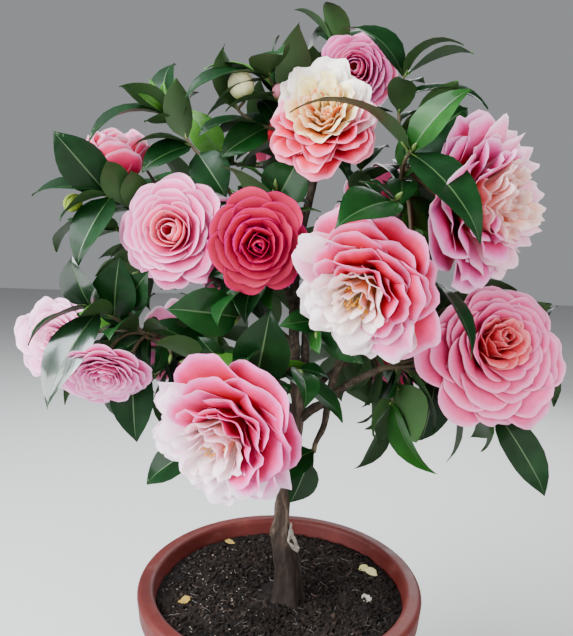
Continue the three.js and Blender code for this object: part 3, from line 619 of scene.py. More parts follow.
class Gathering:
    """The points and faces of one piece while it is put together, in millimetres."""

    def __init__(self):
        self.points, self.faces, self.finishes, self.tones, self.places = [], [], [], [], []
        self.count = 0

    def add(self, points, faces, finish=0, tones=None, places=None):
        """faces is a list of arrays, each with one row for each face of three or four corners;
        finish is one for all the faces, or a list with one for each array."""
        points = np.asarray(points, dtype=float)
        for group, own in zip(faces, finish if isinstance(finish, list) else [finish] * len(faces)):
            self.faces.append(group + self.count)
            self.finishes.append(np.broadcast_to(own, len(group)))
        self.points.append(points)
        self.tones.append(np.zeros((len(points), 3)) if tones is None else tones)
        self.places.append(np.zeros((len(points), 2)) if places is None else places)
        self.count += len(points)

    def piece(self, name, finishes, slot, sharp=60, toned=False):
        """The finished object, which rides on the shrub."""
        points = np.concatenate(self.points) * MM
        loops = np.concatenate([group.ravel() for group in self.faces])
        sizes = np.concatenate([np.full(len(group), group.shape[1]) for group in self.faces])
        mesh = bpy.data.meshes.new(name)
        mesh.vertices.add(len(points))
        mesh.vertices.foreach_set("co", points.ravel())
        mesh.loops.add(len(loops))
        mesh.loops.foreach_set("vertex_index", loops.astype(np.int32))
        mesh.polygons.add(len(sizes))
        starts = np.concatenate([[0], np.cumsum(sizes)[:-1]])
        mesh.polygons.foreach_set("loop_start", starts.astype(np.int32))
        mesh.polygons.foreach_set("material_index", np.concatenate(self.finishes).astype(np.int32))
        mesh.update(calc_edges=True)
        layer = mesh.uv_layers.new(name="UVMap")
        layer.data.foreach_set("uv", np.concatenate(self.places)[loops].ravel())
        if toned:
            colours = mesh.color_attributes.new("petal_tone", "FLOAT_COLOR", "POINT")
            rows = np.concatenate([np.concatenate(self.tones), np.ones((len(points), 1))], axis=1)
            colours.data.foreach_set("color", rows.ravel())
        mesh.polygons.foreach_set("use_smooth", np.ones(len(sizes), dtype=bool))
        mesh.set_sharp_from_angle(angle=math.radians(sharp))
        mesh.validate()
        for finish in finishes:
            mesh.materials.append(finish)
        made = bpy.data.objects.new(name, mesh)
        bpy.context.scene.collection.objects.link(made)
        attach(made, "root")
        return made


def grid_faces(grid):
    """A face for each square of a grid of point numbers."""
    corners = [grid[:-1, :-1], grid[:-1, 1:], grid[1:, 1:], grid[1:, :-1]]
    return np.stack(corners, axis=-1).reshape(-1, 4)


def tube_faces(rings, sides, closed=True):
    """Faces of a tube of rings, and of its two ends, where points go round each ring in turn."""
    ring, side = np.meshgrid(np.arange(rings - 1), np.arange(sides), indexing="ij")
    here, beside = ring * sides + side, ring * sides + (side + 1) % sides
    walls = np.stack([here, beside, beside + sides, here + sides], axis=-1).reshape(-1, 4)
    if not closed:
        return [walls]
    first, last = rings * sides, rings * sides + 1
    side = np.arange(sides)
    foot = np.stack([np.full(sides, first), (side + 1) % sides, side], axis=1)
    base = (rings - 1) * sides
    head = np.stack([np.full(sides, last), base + side, base + (side + 1) % sides], axis=1)
    return [walls, foot, head]


# How far the ends of a limb bulge, as parts of its radius there
FOOT_BULGE = 0.4
TIP_BULGE = 0.5


def tube(path, radii, sides, swell=None):
    """Points of a round limb along a path, with a middle point at each end, and its faces.
    swell gives a further radius for each point of each ring."""
    path = np.asarray(path)
    along = np.gradient(path, axis=0)
    along /= np.linalg.norm(along, axis=1)[:, None]
    across = at((0, 0, 1)) if abs(along[0][2]) < UPRIGHT_LIMB else at((1, 0, 0))
    angle = even_turns(sides)
    rings = []
    for index, (place, way) in enumerate(zip(path, along)):
        across = unit(across - way * across.dot(way))
        other = np.cross(way, across)
        radius = np.full(sides, radii[index]) + (0 if swell is None else swell[index])
        rings.append(place + np.outer(np.cos(angle) * radius, across)
                     + np.outer(np.sin(angle) * radius, other))
    ends = [path[:1] - along[0] * radii[0] * FOOT_BULGE,
            path[-1:] + along[-1] * radii[-1] * TIP_BULGE]
    return np.concatenate(rings + ends), tube_faces(len(path), sides)


def lathe(profile, sides):
    """Points and faces of a closed turned shape; the profile starts and ends on the axis."""
    inner = profile[1:-1]
    angle = even_turns(sides)
    rings = [rows_of(out * np.cos(angle), out * np.sin(angle), np.full(sides, high))
             for out, high in inner]
    ends = [[0, 0, profile[0][1]], [0, 0, profile[-1][1]]]
    return np.concatenate(rings + [at(ends)]), tube_faces(len(inner), sides)


# Trunk and boughs

# How far each seed shifts the pattern of lumps, along x, y and z
SEED_SHIFT = (17.3, 5.1, 9.7)


def relief(points, size, seed):
    """Lumps of a given size: a value between -1 and 1 for each point."""
    shift = Vector([seed * part for part in SEED_SHIFT])
    return np.array([noise.noise(Vector(point) / size + shift) for point in points])


# The trunk's grid, the steps of its path, and over how many rings each way its radius is evened out
TRUNK_SIDES = 40
TRUNK_RINGS = 117
TRUNK_STEPS = 400
TRUNK_SOFTEN = 3
TRUNK_CORNERS = np.array(TRUNK_SPINE)

# Furrows and fine cracks: their reach round and up the trunk, size, seed and depth; and how deep
# they are at which heights
TRUNK_LAYERS = [(4.2, 11, 1.6, 1, 1.3), (9, 4, 2.4, 2, 0.7)]
BARK_DEPTH = 0.85
BARK_HEIGHTS = [222, 262, 290, 330, 454]
BARK_SHARES = [1.5, 1.7, 1.2, 0.75, 0.7]

# Root flare: where it ends, how fast it fades, and its lobes
ROOT_TOP = 246
ROOT_FADE = 1.6
ROOT_LOBES = 5
ROOT_SWELL = 2.0
ROOT_WANDER = 0.7
ROOT_PINCH = 0.6

# Graft union, the two collars over it as height, spread and swelling, and the knob on its left
GRAFT_HEIGHT, GRAFT_SPREAD, GRAFT_TURN = 272, 9, 3.4
GRAFT_LEAN, GRAFT_LOBES = 1.3, 0.8
COLLARS = [(428, 4, 0.8), (356, 2.2, 0.5)]
KNOB_HEIGHT, KNOB_SPREAD, KNOB_SWELL = 294, 4.5, 3.0
KNOB_TURN, KNOB_SWEEP = 3.8, 0.8

# Grafting tape: between which heights and turns, its grid, and how it stands off and crumples
TAPE_HEIGHTS = (272, 298)
TAPE_TURNS = (-0.95, 0.45)
TAPE_ROWS, TAPE_COLUMNS = 19, 15
TAPE_ENDS = 0.45
TAPE_CUT = 0.05
TAPE_OFF = 1.2
TAPE_FLARE = 2.2
TAPE_CRUMPLE = 1.8
TAPE_CREASE = 4.5
TAPE_REACH = 9
TAPE_SEED = 31
TAPE_THICK = 0.8


def sheet_faces(rows, columns):
    """Faces of a closed flat body: an upper and a lower grid of points, one after the other."""
    index = np.arange(rows * columns).reshape(rows, columns)
    front = grid_faces(index)
    rim = np.concatenate([index[0, :-1], index[:-1, -1], index[-1, :0:-1], index[:0:-1, 0]])
    beside = np.roll(rim, -1)
    below = rows * columns
    walls = np.stack([rim, rim + below, beside + below, beside], axis=1)
    return [front, front[:, ::-1] + below, walls]


def graft_tape(gathering):
    """A crumpled strip of pale tape round the right side of the graft."""
    part, side = np.meshgrid(np.linspace(0, 1, TAPE_ROWS), np.linspace(0, 1, TAPE_COLUMNS),
                             indexing="ij")
    height = TAPE_HEIGHTS[0] + (TAPE_HEIGHTS[1] - TAPE_HEIGHTS[0]) * part
    middle = np.sin(math.pi * (TAPE_CUT + (1 - 2 * TAPE_CUT) * part))
    spread = TAPE_ENDS + (1 - TAPE_ENDS) * middle
    turn = TAPE_TURNS[1] + (TAPE_TURNS[0] - TAPE_TURNS[1]) * side * spread
    crease = relief(rows_of(turn * TAPE_REACH, height, side * 0), TAPE_CREASE, TAPE_SEED)
    crease = crease.reshape(turn.shape)
    x, y, radius = [np.interp(height, TRUNK_CORNERS[:, 2], TRUNK_CORNERS[:, axis])
                    for axis in (0, 1, 3)]
    radius = radius + TAPE_OFF + TAPE_FLARE * spread * (1 - side) + crease * TAPE_CRUMPLE
    sheets = [rows_of(x + reach * np.cos(turn), y + reach * np.sin(turn), height + crease)
              for reach in (radius, radius - TAPE_THICK)]
    gathering.add(np.concatenate(sheets), sheet_faces(TAPE_ROWS, TAPE_COLUMNS), 1)


def swelling(heights, middle, spread):
    """1 at one height, and less and less above and below it."""
    return np.exp(-((heights - middle) / spread) ** 2)[:, None]


def trunk_piece(finishes):
    """The trunk with its bark, root flare, graft, collars and knob, and the tape on it."""
    heights = np.linspace(TRUNK_SPINE[0][2], TRUNK_TOP, TRUNK_RINGS)
    dense = spine([corner[:3] for corner in TRUNK_SPINE], TRUNK_STEPS)
    path = np.stack([np.interp(heights, dense[:, 2], dense[:, axis]) for axis in range(3)], axis=1)
    radii = np.interp(heights, TRUNK_CORNERS[:, 2], TRUNK_CORNERS[:, 3])
    even = np.ones(2 * TRUNK_SOFTEN + 1) / (2 * TRUNK_SOFTEN + 1)
    soft = np.convolve(np.pad(radii, TRUNK_SOFTEN, mode="edge"), even, mode="valid")
    soft[:TRUNK_SOFTEN + 1] = radii[:TRUNK_SOFTEN + 1]
    turn, height = np.meshgrid(even_turns(TRUNK_SIDES), heights)
    rough = sum(relief(rows_of(reach * np.cos(turn), reach * np.sin(turn), height / rise), size, seed)
                * depth for reach, rise, size, seed, depth in TRUNK_LAYERS).reshape(turn.shape)
    deep = np.interp(heights, BARK_HEIGHTS, BARK_SHARES)[:, None]
    foot = np.clip((ROOT_TOP - heights) / (ROOT_TOP - TRUNK_SPINE[0][2]), 0, 1)[:, None] ** ROOT_FADE
    folds = np.cos(ROOT_LOBES * turn + ROOT_WANDER * np.sin(2 * turn)) - ROOT_PINCH
    lobes = foot * ROOT_SWELL * folds
    round_graft = GRAFT_LEAN * np.cos(turn - GRAFT_TURN) + GRAFT_LOBES * np.cos(3 * turn)
    graft = swelling(heights, GRAFT_HEIGHT, GRAFT_SPREAD) * round_graft
    collar = sum(swelling(heights, middle, spread) * swell for middle, spread, swell in COLLARS)
    knob = (KNOB_SWELL * swelling(heights, KNOB_HEIGHT, KNOB_SPREAD)
            * np.exp(-((turn - KNOB_TURN) / KNOB_SWEEP) ** 2))
    gathering = Gathering()
    gathering.add(*tube(path, soft, TRUNK_SIDES,
                        rough * deep * BARK_DEPTH + lobes + graft + collar + knob))
    graft_tape(gathering)
    return gathering.piece("trunk_bark", finishes, "trunk_bark", sharp=80)


BOUGH_SIDES = 16
BOUGH_RINGS = 40
BOUGH_STEP = 3.0
BOUGH_FLARE = 1.18

# A bough starts this far inside its limb: the two leaders in the fork, and the others
LEADER_ROOT = 7.0
SIDE_ROOT = 2.8

# Bark on a bough: its reach round and along, size and depth, and the seed of the first one's
BOUGH_BARK = (3, 0.35, 1.7, 0.35)
BOUGH_BARK_SEED = 5

# Nodes along boughs and twigs: how far apart, how long, how much thicker, and how far the next
# limb's lie from this one's; and the fewest steps of a limb
NODE_STEP = 17.0
NODE_LENGTH = 2.2
NODE_SWELL = 0.088
NODE_SHIFT = 5.3
FEWEST_STEPS = 4


def smooth_limb(path, radii, step, seed):
    """A finer copy of a path with its radii, with swollen nodes along it."""
    path = np.asarray(path)
    lengths = np.concatenate([[0], np.cumsum(np.linalg.norm(np.diff(path, axis=0), axis=1))])
    count = max(int(lengths[-1] / step), FEWEST_STEPS)
    along = np.linspace(0, lengths[-1], count + 1)
    fine = np.stack([np.interp(along, lengths, path[:, axis]) for axis in range(3)], axis=1)
    radius = np.interp(along, lengths, radii)
    from_node = (along + seed * NODE_SHIFT) % NODE_STEP - NODE_STEP / 2
    return fine, radius * (1 + NODE_SWELL * np.exp(-(from_node / NODE_LENGTH) ** 2))


def boughs_piece(finishes):
    """Every bough, each from inside the limb that bears it."""
    gathering = Gathering()
    reach, rise, size, depth = BOUGH_BARK
    for index, (_, corners, foot, tip) in enumerate(BOUGHS):
        path = spine(corners, BOUGH_RINGS)
        inward = unit(path[0] - path[1])
        path = np.concatenate([[path[0] + inward * (LEADER_ROOT if index < 2 else SIDE_ROOT)], path])
        radii = np.concatenate([[foot * BOUGH_FLARE], np.linspace(foot, tip, BOUGH_RINGS + 1)])
        path, radii = smooth_limb(path, radii, BOUGH_STEP, index)
        turn, ring = np.meshgrid(even_turns(BOUGH_SIDES), np.arange(len(path)))
        places = rows_of(reach * np.cos(turn), reach * np.sin(turn), ring * rise)
        rough = relief(places, size, BOUGH_BARK_SEED + index).reshape(turn.shape) * depth
        gathering.add(*tube(path, radii, BOUGH_SIDES, rough))
    return gathering.piece("bough_bark", finishes, "bough_bark", sharp=80)


# The room round each mass, bloom and limb

SITES = [(mass, middle, radius + BLOOM_SPACE) for _, mass, middle, radius, _, _ in BLOOMS]
for mass, _, hub, shoots, _ in MASSES:
    SITES.append((mass, hub, HUB_SPACE))
    SITES += [(mass, shoot, SHOOT_SPACE) for shoot in shoots]
SITE_MASS = np.array([mass for mass, _, _ in SITES])
SITE_PLACE = np.array([place for _, place, _ in SITES], dtype=float)
SITE_RADIUS = np.array([radius for _, _, radius in SITES], dtype=float)
SITE_APART = np.linalg.norm(SITE_PLACE[:, None] - SITE_PLACE[None], axis=2)

BLOOM_PLACE = np.array([middle for _, _, middle, _, _, _ in BLOOMS], dtype=float)
BLOOM_RADIUS = np.array([radius for _, _, _, radius, _, _ in BLOOMS], dtype=float)
BLOOM_FRONT = np.array([unit(at(facing)) for _, _, _, _, facing, _ in BLOOMS])
BLOOM_DEPTH = np.array([CUP_BACK if form == "cup" else OPEN_BACK for _, _, _, _, _, form in BLOOMS])


def keeps_to_space(mass, points):
    """Which points are nearer to the mass's own blooms and shoots than to another mass's."""
    own = SITE_MASS == mass
    reach = ((points[:, None] - SITE_PLACE[None]) ** 2).sum(2) - SITE_RADIUS ** 2
    mine = np.where(own, reach, np.inf).argmin(1)
    lead = reach - reach[np.arange(len(points)), mine][:, None]
    lead = lead[:, ~own] / (2 * SITE_APART[mine][:, ~own])
    return (lead > SPACE_MARGIN).all(1)


def clear_of_blooms(points):
    """Which points lie outside every bloom, open or cupped."""
    offset = points[:, None] - BLOOM_PLACE[None]
    height = (offset * BLOOM_FRONT).sum(2) / BLOOM_RADIUS
    out = np.sqrt(np.maximum((offset ** 2).sum(2) / BLOOM_RADIUS ** 2 - height ** 2, 0))
    away = (height > GUARD_FRONT) | (height < -BLOOM_DEPTH)
    side = (height > GUARD_RIM) & (out > GUARD_SIDE)
    under = (height <= GUARD_RIM) & (out > (height + BLOOM_DEPTH) / (BLOOM_DEPTH + GUARD_RIM))
    return (away | side | under).all(1)


def bough_limbs():
    """Path and radii of the trunk and of each bough, as the rule sees them."""
    limbs = {"trunk": (TRUNK_CORNERS[:, :3], TRUNK_CORNERS[:, 3])}
    for name, corners, foot, tip in BOUGHS:
        path = spine(corners, len(corners) + 1)
        limbs[name] = (path, np.linspace(foot, tip, len(path)))
    return limbs


LIMBS = bough_limbs()
SPAN_START = np.concatenate([path[:-1] for path, _ in LIMBS.values()])
SPAN = np.concatenate([np.diff(path, axis=0) for path, _ in LIMBS.values()])
SPAN_RADIUS = np.concatenate([np.maximum(radii[:-1], radii[1:]) for _, radii in LIMBS.values()])


def clear_of_limbs(points, gap):
    """Which points stay a gap away from the trunk and the boughs."""
    offset = points[:, None] - SPAN_START[None]
    part = np.clip((offset * SPAN).sum(2) / (SPAN ** 2).sum(1), 0, 1)
    away = np.linalg.norm(offset - SPAN * part[:, :, None], axis=2)
    return (away >= SPAN_RADIUS + gap).all(1)


# Leaves

# Where the rule looks at a blade: parts of its length, its half width there, and along its midrib
BLADE_PARTS = (0.25, 0.45, 0.65, 0.85, 1)
BLADE_HALF_WIDTH = 0.45
MIDRIB_PARTS = np.array((0.3, 0.55, 0.8, 1))


class Leaf:
    """Where a leaf starts, how long and wide it is, and the way its upper face looks."""

    def __init__(self, base, tip, face, width, arch):
        self.base, self.width, self.arch = base, width, arch
        self.along = tip - base
        self.length = np.linalg.norm(self.along)
        self.along = self.along / self.length
        self.upper = unit(face - self.along * face.dot(self.along))
        self.right = np.cross(self.along, self.upper)

    def on(self, part, out):
        """Places on the blade: a part of the way along it, and a distance out to its right."""
        part, out = at(part)[..., None], at(out)[..., None]
        rise = self.arch * self.length * 4 * part * (1 - part) + LEAF_FOLD * abs(out)
        return self.base + self.along * self.length * part + self.right * out + self.upper * rise

    def midrib(self):
        """Places along its middle, from which other leaves keep away."""
        return self.on(MIDRIB_PARTS, np.zeros(len(MIDRIB_PARTS)))


def leaf_fits(mass, leaf, midribs, gap):
    """Whether a leaf keeps clear of limbs, blooms, other masses and the leaves before it."""
    parts, outs = [], []
    for part in BLADE_PARTS:
        half = 0 if part == 1 else leaf.width * BLADE_HALF_WIDTH
        parts += [part] * 3
        outs += [-half, 0, half]
    points = leaf.on(parts, outs)
    if not clear_of_limbs(points, LEAF_TO_LIMB).all() or not clear_of_blooms(points).all():
        return False
    if not keeps_to_space(mass, points).all():
        return False
    if not midribs:
        return True
    others = np.concatenate(midribs)
    apart = np.linalg.norm(leaf.midrib()[:, None] - others[None], axis=2)
    return apart.min() > gap


# A blade's outline: how far along, and the half width there as a part of the widest
BLADE_ROWS = np.array((0, 0.07, 0.16, 0.29, 0.44, 0.58, 0.71, 0.82, 0.91, 0.97, 1))
BLADE_HALF = np.array((0.05, 0.3, 0.68, 0.93, 1, 0.95, 0.77, 0.52, 0.26, 0.09, 0.015))
BLADE_COLUMNS = np.array((-1, -0.55, -0.035, 0.035, 0.55, 1))
BLADE_RIB = 2
BLADE_THICK = 0.5

# Its waves, out of step between the two sides, the bulge between rib and edge, the dip along the
# rib and the curled tip
BLADE_WAVE = 1.2
BLADE_WAVES = (1.6, 2.6)
SIDES_APART = 1.3
BLADE_BULGE = 0.9
RIB_DIP = 0.35
RIB_REACH = 0.1
TIP_CURL = 0.05
TIP_CURL_FROM = 0.78

# How the side veins lie on it: how many along, and how far they lean
VEINS_ALONG = 1.6
VEINS_LEAN = 0.28

# Where the finishes of rib and back stand among the leaf's
RIB_FINISH = 4
BACK_FINISH = 5


def fan_faces(middle, points):
    """Triangles from one middle point to each pair of neighbours in a row of points."""
    return np.stack([np.full(len(points) - 1, middle), points[:-1], points[1:]], axis=1)


def leaf_shape(leaf, green, number):
    """Points, faces and finishes of one leaf: a folded, arched blade with a rib and a paler back."""
    rows, columns = len(BLADE_ROWS), len(BLADE_COLUMNS)
    part, side = np.meshgrid(BLADE_ROWS, BLADE_COLUMNS, indexing="ij")
    outline = BLADE_HALF[:, None]
    out = outline * leaf.width / 2 * side
    phase, waves = number(*ANY_PHASE), number(*BLADE_WAVES)
    phase = phase + SIDES_APART * np.sign(side)
    wave = BLADE_WAVE * np.sin(waves * math.pi * part + phase) * side ** 2
    bulge = BLADE_BULGE * np.sin(math.pi * np.abs(side)) * outline
    curled = np.clip((part - TIP_CURL_FROM) / (1 - TIP_CURL_FROM), 0, 1) ** 2
    dip = np.where(abs(side) < RIB_REACH, -RIB_DIP, 0) * outline
    lift = (wave + bulge - TIP_CURL * leaf.length * curled + dip)[..., None] * leaf.upper
    top = (leaf.on(part, out) + lift).reshape(-1, 3)
    beside_rib = top.reshape(rows, columns, 3)[:, BLADE_RIB:BLADE_RIB + 2]
    under = beside_rib.mean(1) - leaf.upper * BLADE_THICK

    row, column = np.meshgrid(np.arange(rows - 1), np.arange(columns - 1), indexing="ij")
    corner = (row * columns + column).ravel()
    upper = np.stack([corner, corner + 1, corner + columns + 1, corner + columns], axis=1)
    row = np.arange(rows - 1)
    left, right, middle = row * columns, row * columns + columns - 1, rows * columns + row
    back = np.concatenate([
        np.stack([left, left + columns, middle + 1, middle], axis=1),
        np.stack([middle, middle + 1, right + columns, right], axis=1),
    ])
    foot = fan_faces(rows * columns, np.arange(columns))[:, [0, 2, 1]]
    head = fan_faces(rows * columns + rows - 1, (rows - 1) * columns + np.arange(columns))
    ends = np.concatenate([foot, head])
    places = np.concatenate([
        np.stack([part * VEINS_ALONG - abs(side) * VEINS_LEAN, side * 0.5 + 0.5],
                 axis=-1).reshape(-1, 2),
        np.stack([BLADE_ROWS * VEINS_ALONG, np.full(rows, 0.5)], axis=1),
    ])
    finishes = [np.where(column.ravel() == BLADE_RIB, RIB_FINISH, green), BACK_FINISH, green]
    return np.concatenate([top, under]), [upper, back, ends], finishes, places


# Masses: stems, twigs, buds and leaves

# Twigs, the stalks of buds, and how deep a stalk reaches into its bud
TWIG_SIDES = 7
TWIG_FINE_RINGS = 14
TWIG_STEP = 3.5
BUD_STALK_RINGS = 8
BUD_SINK = 0.7

# Leaves are drawn a little wider than the solids': the leading ones, and the dealt ones
LEAF_DRAWN_WIDE = 1.1
DEALT_DRAWN_WIDE = 1.24

# Finishes that dealt leaves draw from, and the finish, face and arch of young ones
LEAF_SHADES = (0, 0, 0, 0, 1, 1, 1, 1, 2, 2, 3)
YOUNG_SHADE = 3
YOUNG_FACE = (0, -1, 0.3)
YOUNG_ARCH = 0.1

# Stalks of leaves, and the bud at the tip of each shoot as a turned profile
PETIOLE_RADIUS = (1.1, 0.75)
PETIOLE_PART = 0.1
PETIOLE_RINGS = 4
PETIOLE_SIDES = 5
TIP_BUD = [(0, -1.5), (1.5, 0), (2.1, 2.4), (1.9, 4.6), (1.1, 7), (0, 9.5)]
TIP_BUD_SIDES = 6


def add_tube(gathering, path, radii, sides, finish):
    """A round limb added to a gathering."""
    points, faces = tube(path, radii, sides)
    gathering.add(points, faces, finish)


def oriented(points, place, way):
    """Points turned so that their own upright runs the given way, and moved to a place."""
    return place + points @ np.array(facing_frame(way))


def nearest_foot(lines, point):
    """The place nearest to a point on a mass's stem and twigs, a little short of their tips."""
    places = [nearest_on(np.concatenate([line[:-1], [back_along(line, LEAF_SINK)[0]]]), point)
              for line in lines]
    return min(places, key=lambda place: place[1])[0]


def grow_mass(mass, bough, hub_place, shoots, seed, twigs_out, leaves_out):
    """One mass by the solids' own rule, drawn finer, with a second crop of smaller leaves."""
    number = seeded(seed)
    style = seeded(seed * STYLE_FACTOR + STYLE_SHIFT)
    path, radii = LIMBS[bough]
    outward = unit(path[-1] - path[-2])
    start = path[-1] + outward * CLEARANCE
    hub = at(hub_place)
    coarse, fine, leaves, midribs = [], [], [], []

    def add_twig(begin, leaving, end, arriving, rings, first, last):
        """A stem, stalk or twig: its coarse path for the rule, and a fine one that is drawn."""
        coarse.append(bend_path(begin, leaving, end, arriving, rings))
        drawn = bend_path(begin, leaving, end, arriving, TWIG_FINE_RINGS)
        fine.append(drawn)
        drawn, thick = smooth_limb(drawn, np.linspace(first, last, len(drawn)), TWIG_STEP, len(fine))
        add_tube(twigs_out, drawn, thick, TWIG_SIDES, 0)

    def keep(leaf, gap, shade=None):
        """Keeps a leaf if it fits; one without a gap is kept wherever it is."""
        if gap is not None and not leaf_fits(mass, leaf, midribs, gap):
            return False
        leaves.append((leaf, shade))
        midribs.append(leaf.midrib())
        return True

    def deal(source, count, first_turn, spread, crop, draw):
        """Leaves back along a twig from its tip, each tried again until it fits."""
        for k in range(count):
            root, along = back_along(source, LEAF_SINK + k * crop["step"])
            right, top, front = facing_frame(along)
            for attempt in range(LEAF_TRIES):
                turn = first_turn + k * LEAF_TURN + attempt * TRY_TURN
                lean = draw(*spread)
                way = (right * math.cos(turn) * math.sin(lean) + top * math.sin(turn) * math.sin(lean)
                       + front * math.cos(lean))
                way[2] -= draw(0, LEAF_DROOP)
                way = unit(way)
                length = draw(*crop["length"]) * (1 - TRY_SHRINK * attempt)
                face = along + at((0, 0, LEAF_SKYWARD)) + right * draw(-LEAF_TWIST, LEAF_TWIST)
                arch = draw(*LEAF_ARCH)
                leaf = Leaf(root, root + way * length, face, length * LEAF_SHAPE, arch)
                if keep(leaf, crop["gap"]):
                    break

    add_twig(start, outward, hub, unit(hub - start), STEM_RINGS, radii[-1], STEM_TIP_RADIUS)
    stem = coarse[0]
    heading = unit(stem[-1] - stem[-2])
    stem_length = np.linalg.norm(hub - start)
    own = [bloom for bloom in BLOOMS if bloom[1] == mass]
    for index, (_, _, middle, radius, facing, form) in enumerate(own):
        front = unit(at(facing))
        sunk = at(middle) + front * radius * (BLOOM_SINK - (CUP_BACK if form == "cup" else OPEN_BACK))
        root, _ = back_along(stem, BLOOM_STEP * index)
        add_twig(root, heading, sunk, front, TWIG_RINGS, TWIG_RADIUS[0], BLOOM_STALK_RADIUS)
    for index, shoot in enumerate(shoots):
        tip = at(shoot)
        back = STEM_BRANCHING * stem_length * ((index + 0.5) / len(shoots))
        root, along = back_along(stem, back)
        to_tip = unit(tip - root)
        leaving = unit(along + to_tip)
        arriving = unit(unit(tip - at(CROWN_MIDDLE)) + to_tip)
        add_twig(root, leaving, tip, arriving, TWIG_RINGS, *TWIG_RADIUS)
        points, faces = lathe(TIP_BUD, TIP_BUD_SIDES)
        twigs_out.add(oriented(points, tip, arriving), faces, 1)
    for owner, base, tip, width, face, arch, shade in LEADING_LEAVES:
        if owner == mass:
            root = nearest_foot(coarse, at(base))
            keep(Leaf(root, at(tip), at(face), width, arch), None, shade)
    for owner, middle, radius, way, _ in BUDS:
        if owner == mass:
            root = nearest_foot(coarse, at(middle))
            end = at(middle) - unit(at(way)) * radius * BUD_SINK
            stalk = bend_path(root, unit(end - root), end, unit(at(way)), BUD_STALK_RINGS)
            add_tube(twigs_out, stalk, np.full(len(stalk), TWIG_RADIUS[1]), TWIG_SIDES, 0)
    blossom, leafy = coarse[1:1 + len(own)], coarse[1 + len(own):1 + len(own) + len(shoots)]
    for crop, draw in ((FULL_LEAVES, number), (SMALL_LEAVES, style)):
        for line in leafy:
            length = min(np.linalg.norm(line[-1] - line[0]), LEAFY_LENGTH)
            count = LEAVES_AT_TIP + int(length / crop["step"])
            deal(line, count, draw(0, 2 * math.pi), SHOOT_SPREAD, crop, draw)
        for line in blossom:
            deal(line[:-1], LEAVES_UNDER_BLOOM, draw(0, 2 * math.pi), UNDER_BLOOM_SPREAD, crop, draw)
    for owner, place, tips in YOUNG_SHOOTS:
        if owner == mass:
            leaves += [(Leaf(at(place), at(tip), at(YOUNG_FACE), YOUNG_WIDTH, YOUNG_ARCH), YOUNG_SHADE)
                       for tip in tips]
    for leaf, shade in leaves:
        leaf.base, _ = min((nearest_on(line, leaf.base) for line in fine), key=lambda place: place[1])
        leaf.width *= DEALT_DRAWN_WIDE if shade is None else LEAF_DRAWN_WIDE
        dealt = LEAF_SHADES[int(style(0, len(LEAF_SHADES) - 0.001))]
        points, faces, finishes, places = leaf_shape(leaf, dealt if shade is None else shade, style)
        leaves_out.add(points, faces, finishes, None, places)
        parts = np.linspace(0, PETIOLE_PART, PETIOLE_RINGS)
        petiole = leaf.on(parts, np.zeros(PETIOLE_RINGS)) - leaf.upper * PETIOLE_RADIUS[1]
        petiole[0] = leaf.base
        radii = np.linspace(*PETIOLE_RADIUS, PETIOLE_RINGS)
        add_tube(twigs_out, petiole, radii, PETIOLE_SIDES, 1)


# Blossom

# A petal's grid, with rows closer towards the tip and columns closer towards the sides
PETAL_ROWS = 10
PETAL_COLUMNS = 13
PETAL_STEPS = 24
CLOSER_TO_TIP = 0.85
CLOSER_TO_SIDES = 0.55
PETAL_THICK = 0.35

# Its outline: how far the tip rounds off, the notch in it, the scallops and the narrow foot
PETAL_DOME = 0.36
DOME_SIDES = 0.97
NOTCH_DEPTH = 0.06
NOTCH_HALF = 0.22
UNNOTCHED = 0.4
SCALLOP, SCALLOP_RUFFLED = 0.004, 0.26
SCALLOP_WAVES = 4.4
FOOT_SHARE = 0.2
FULL_WIDTH_FROM = 0.66

# How petals of a ring differ: width, reach and height of the tip, waves, hollow, tilt and shade
WIDTHS = (0.92, 1.08)
REACHES = (-0.12, 0.1)
HEIGHTS = (-0.06, 0.06)
WAVES = (1.1, 2.1)
HOLLOWS = (0.12, 0.26)
TILTS = (-0.35, 0.35)
SHADES = (0.93, 1.04)

# How far a petal leans to its ring's own side, and how much of the frill reaches its middle
LEAN_TILT = 0.09
FRILL_MIDDLE = 0.35

# The least and the most that a tip curls back, how much more a loose one does, and from where on
CURLS = (0.1, 0.45)
CURL_LOOSE = 0.3
CURL_PART = (0.72, 1)

# Parts of a petal's length over which the hollow, the tilt and the shift of the heart set in
HOLLOW_PART = (0.15, 0.7)
TILT_PART = (0.1, 0.8)
SHIFT_PART = (0, 0.7)

# A petal that wraps round the middle bends no tighter than at this distance from it
TIGHTEST_WRAP = 0.1

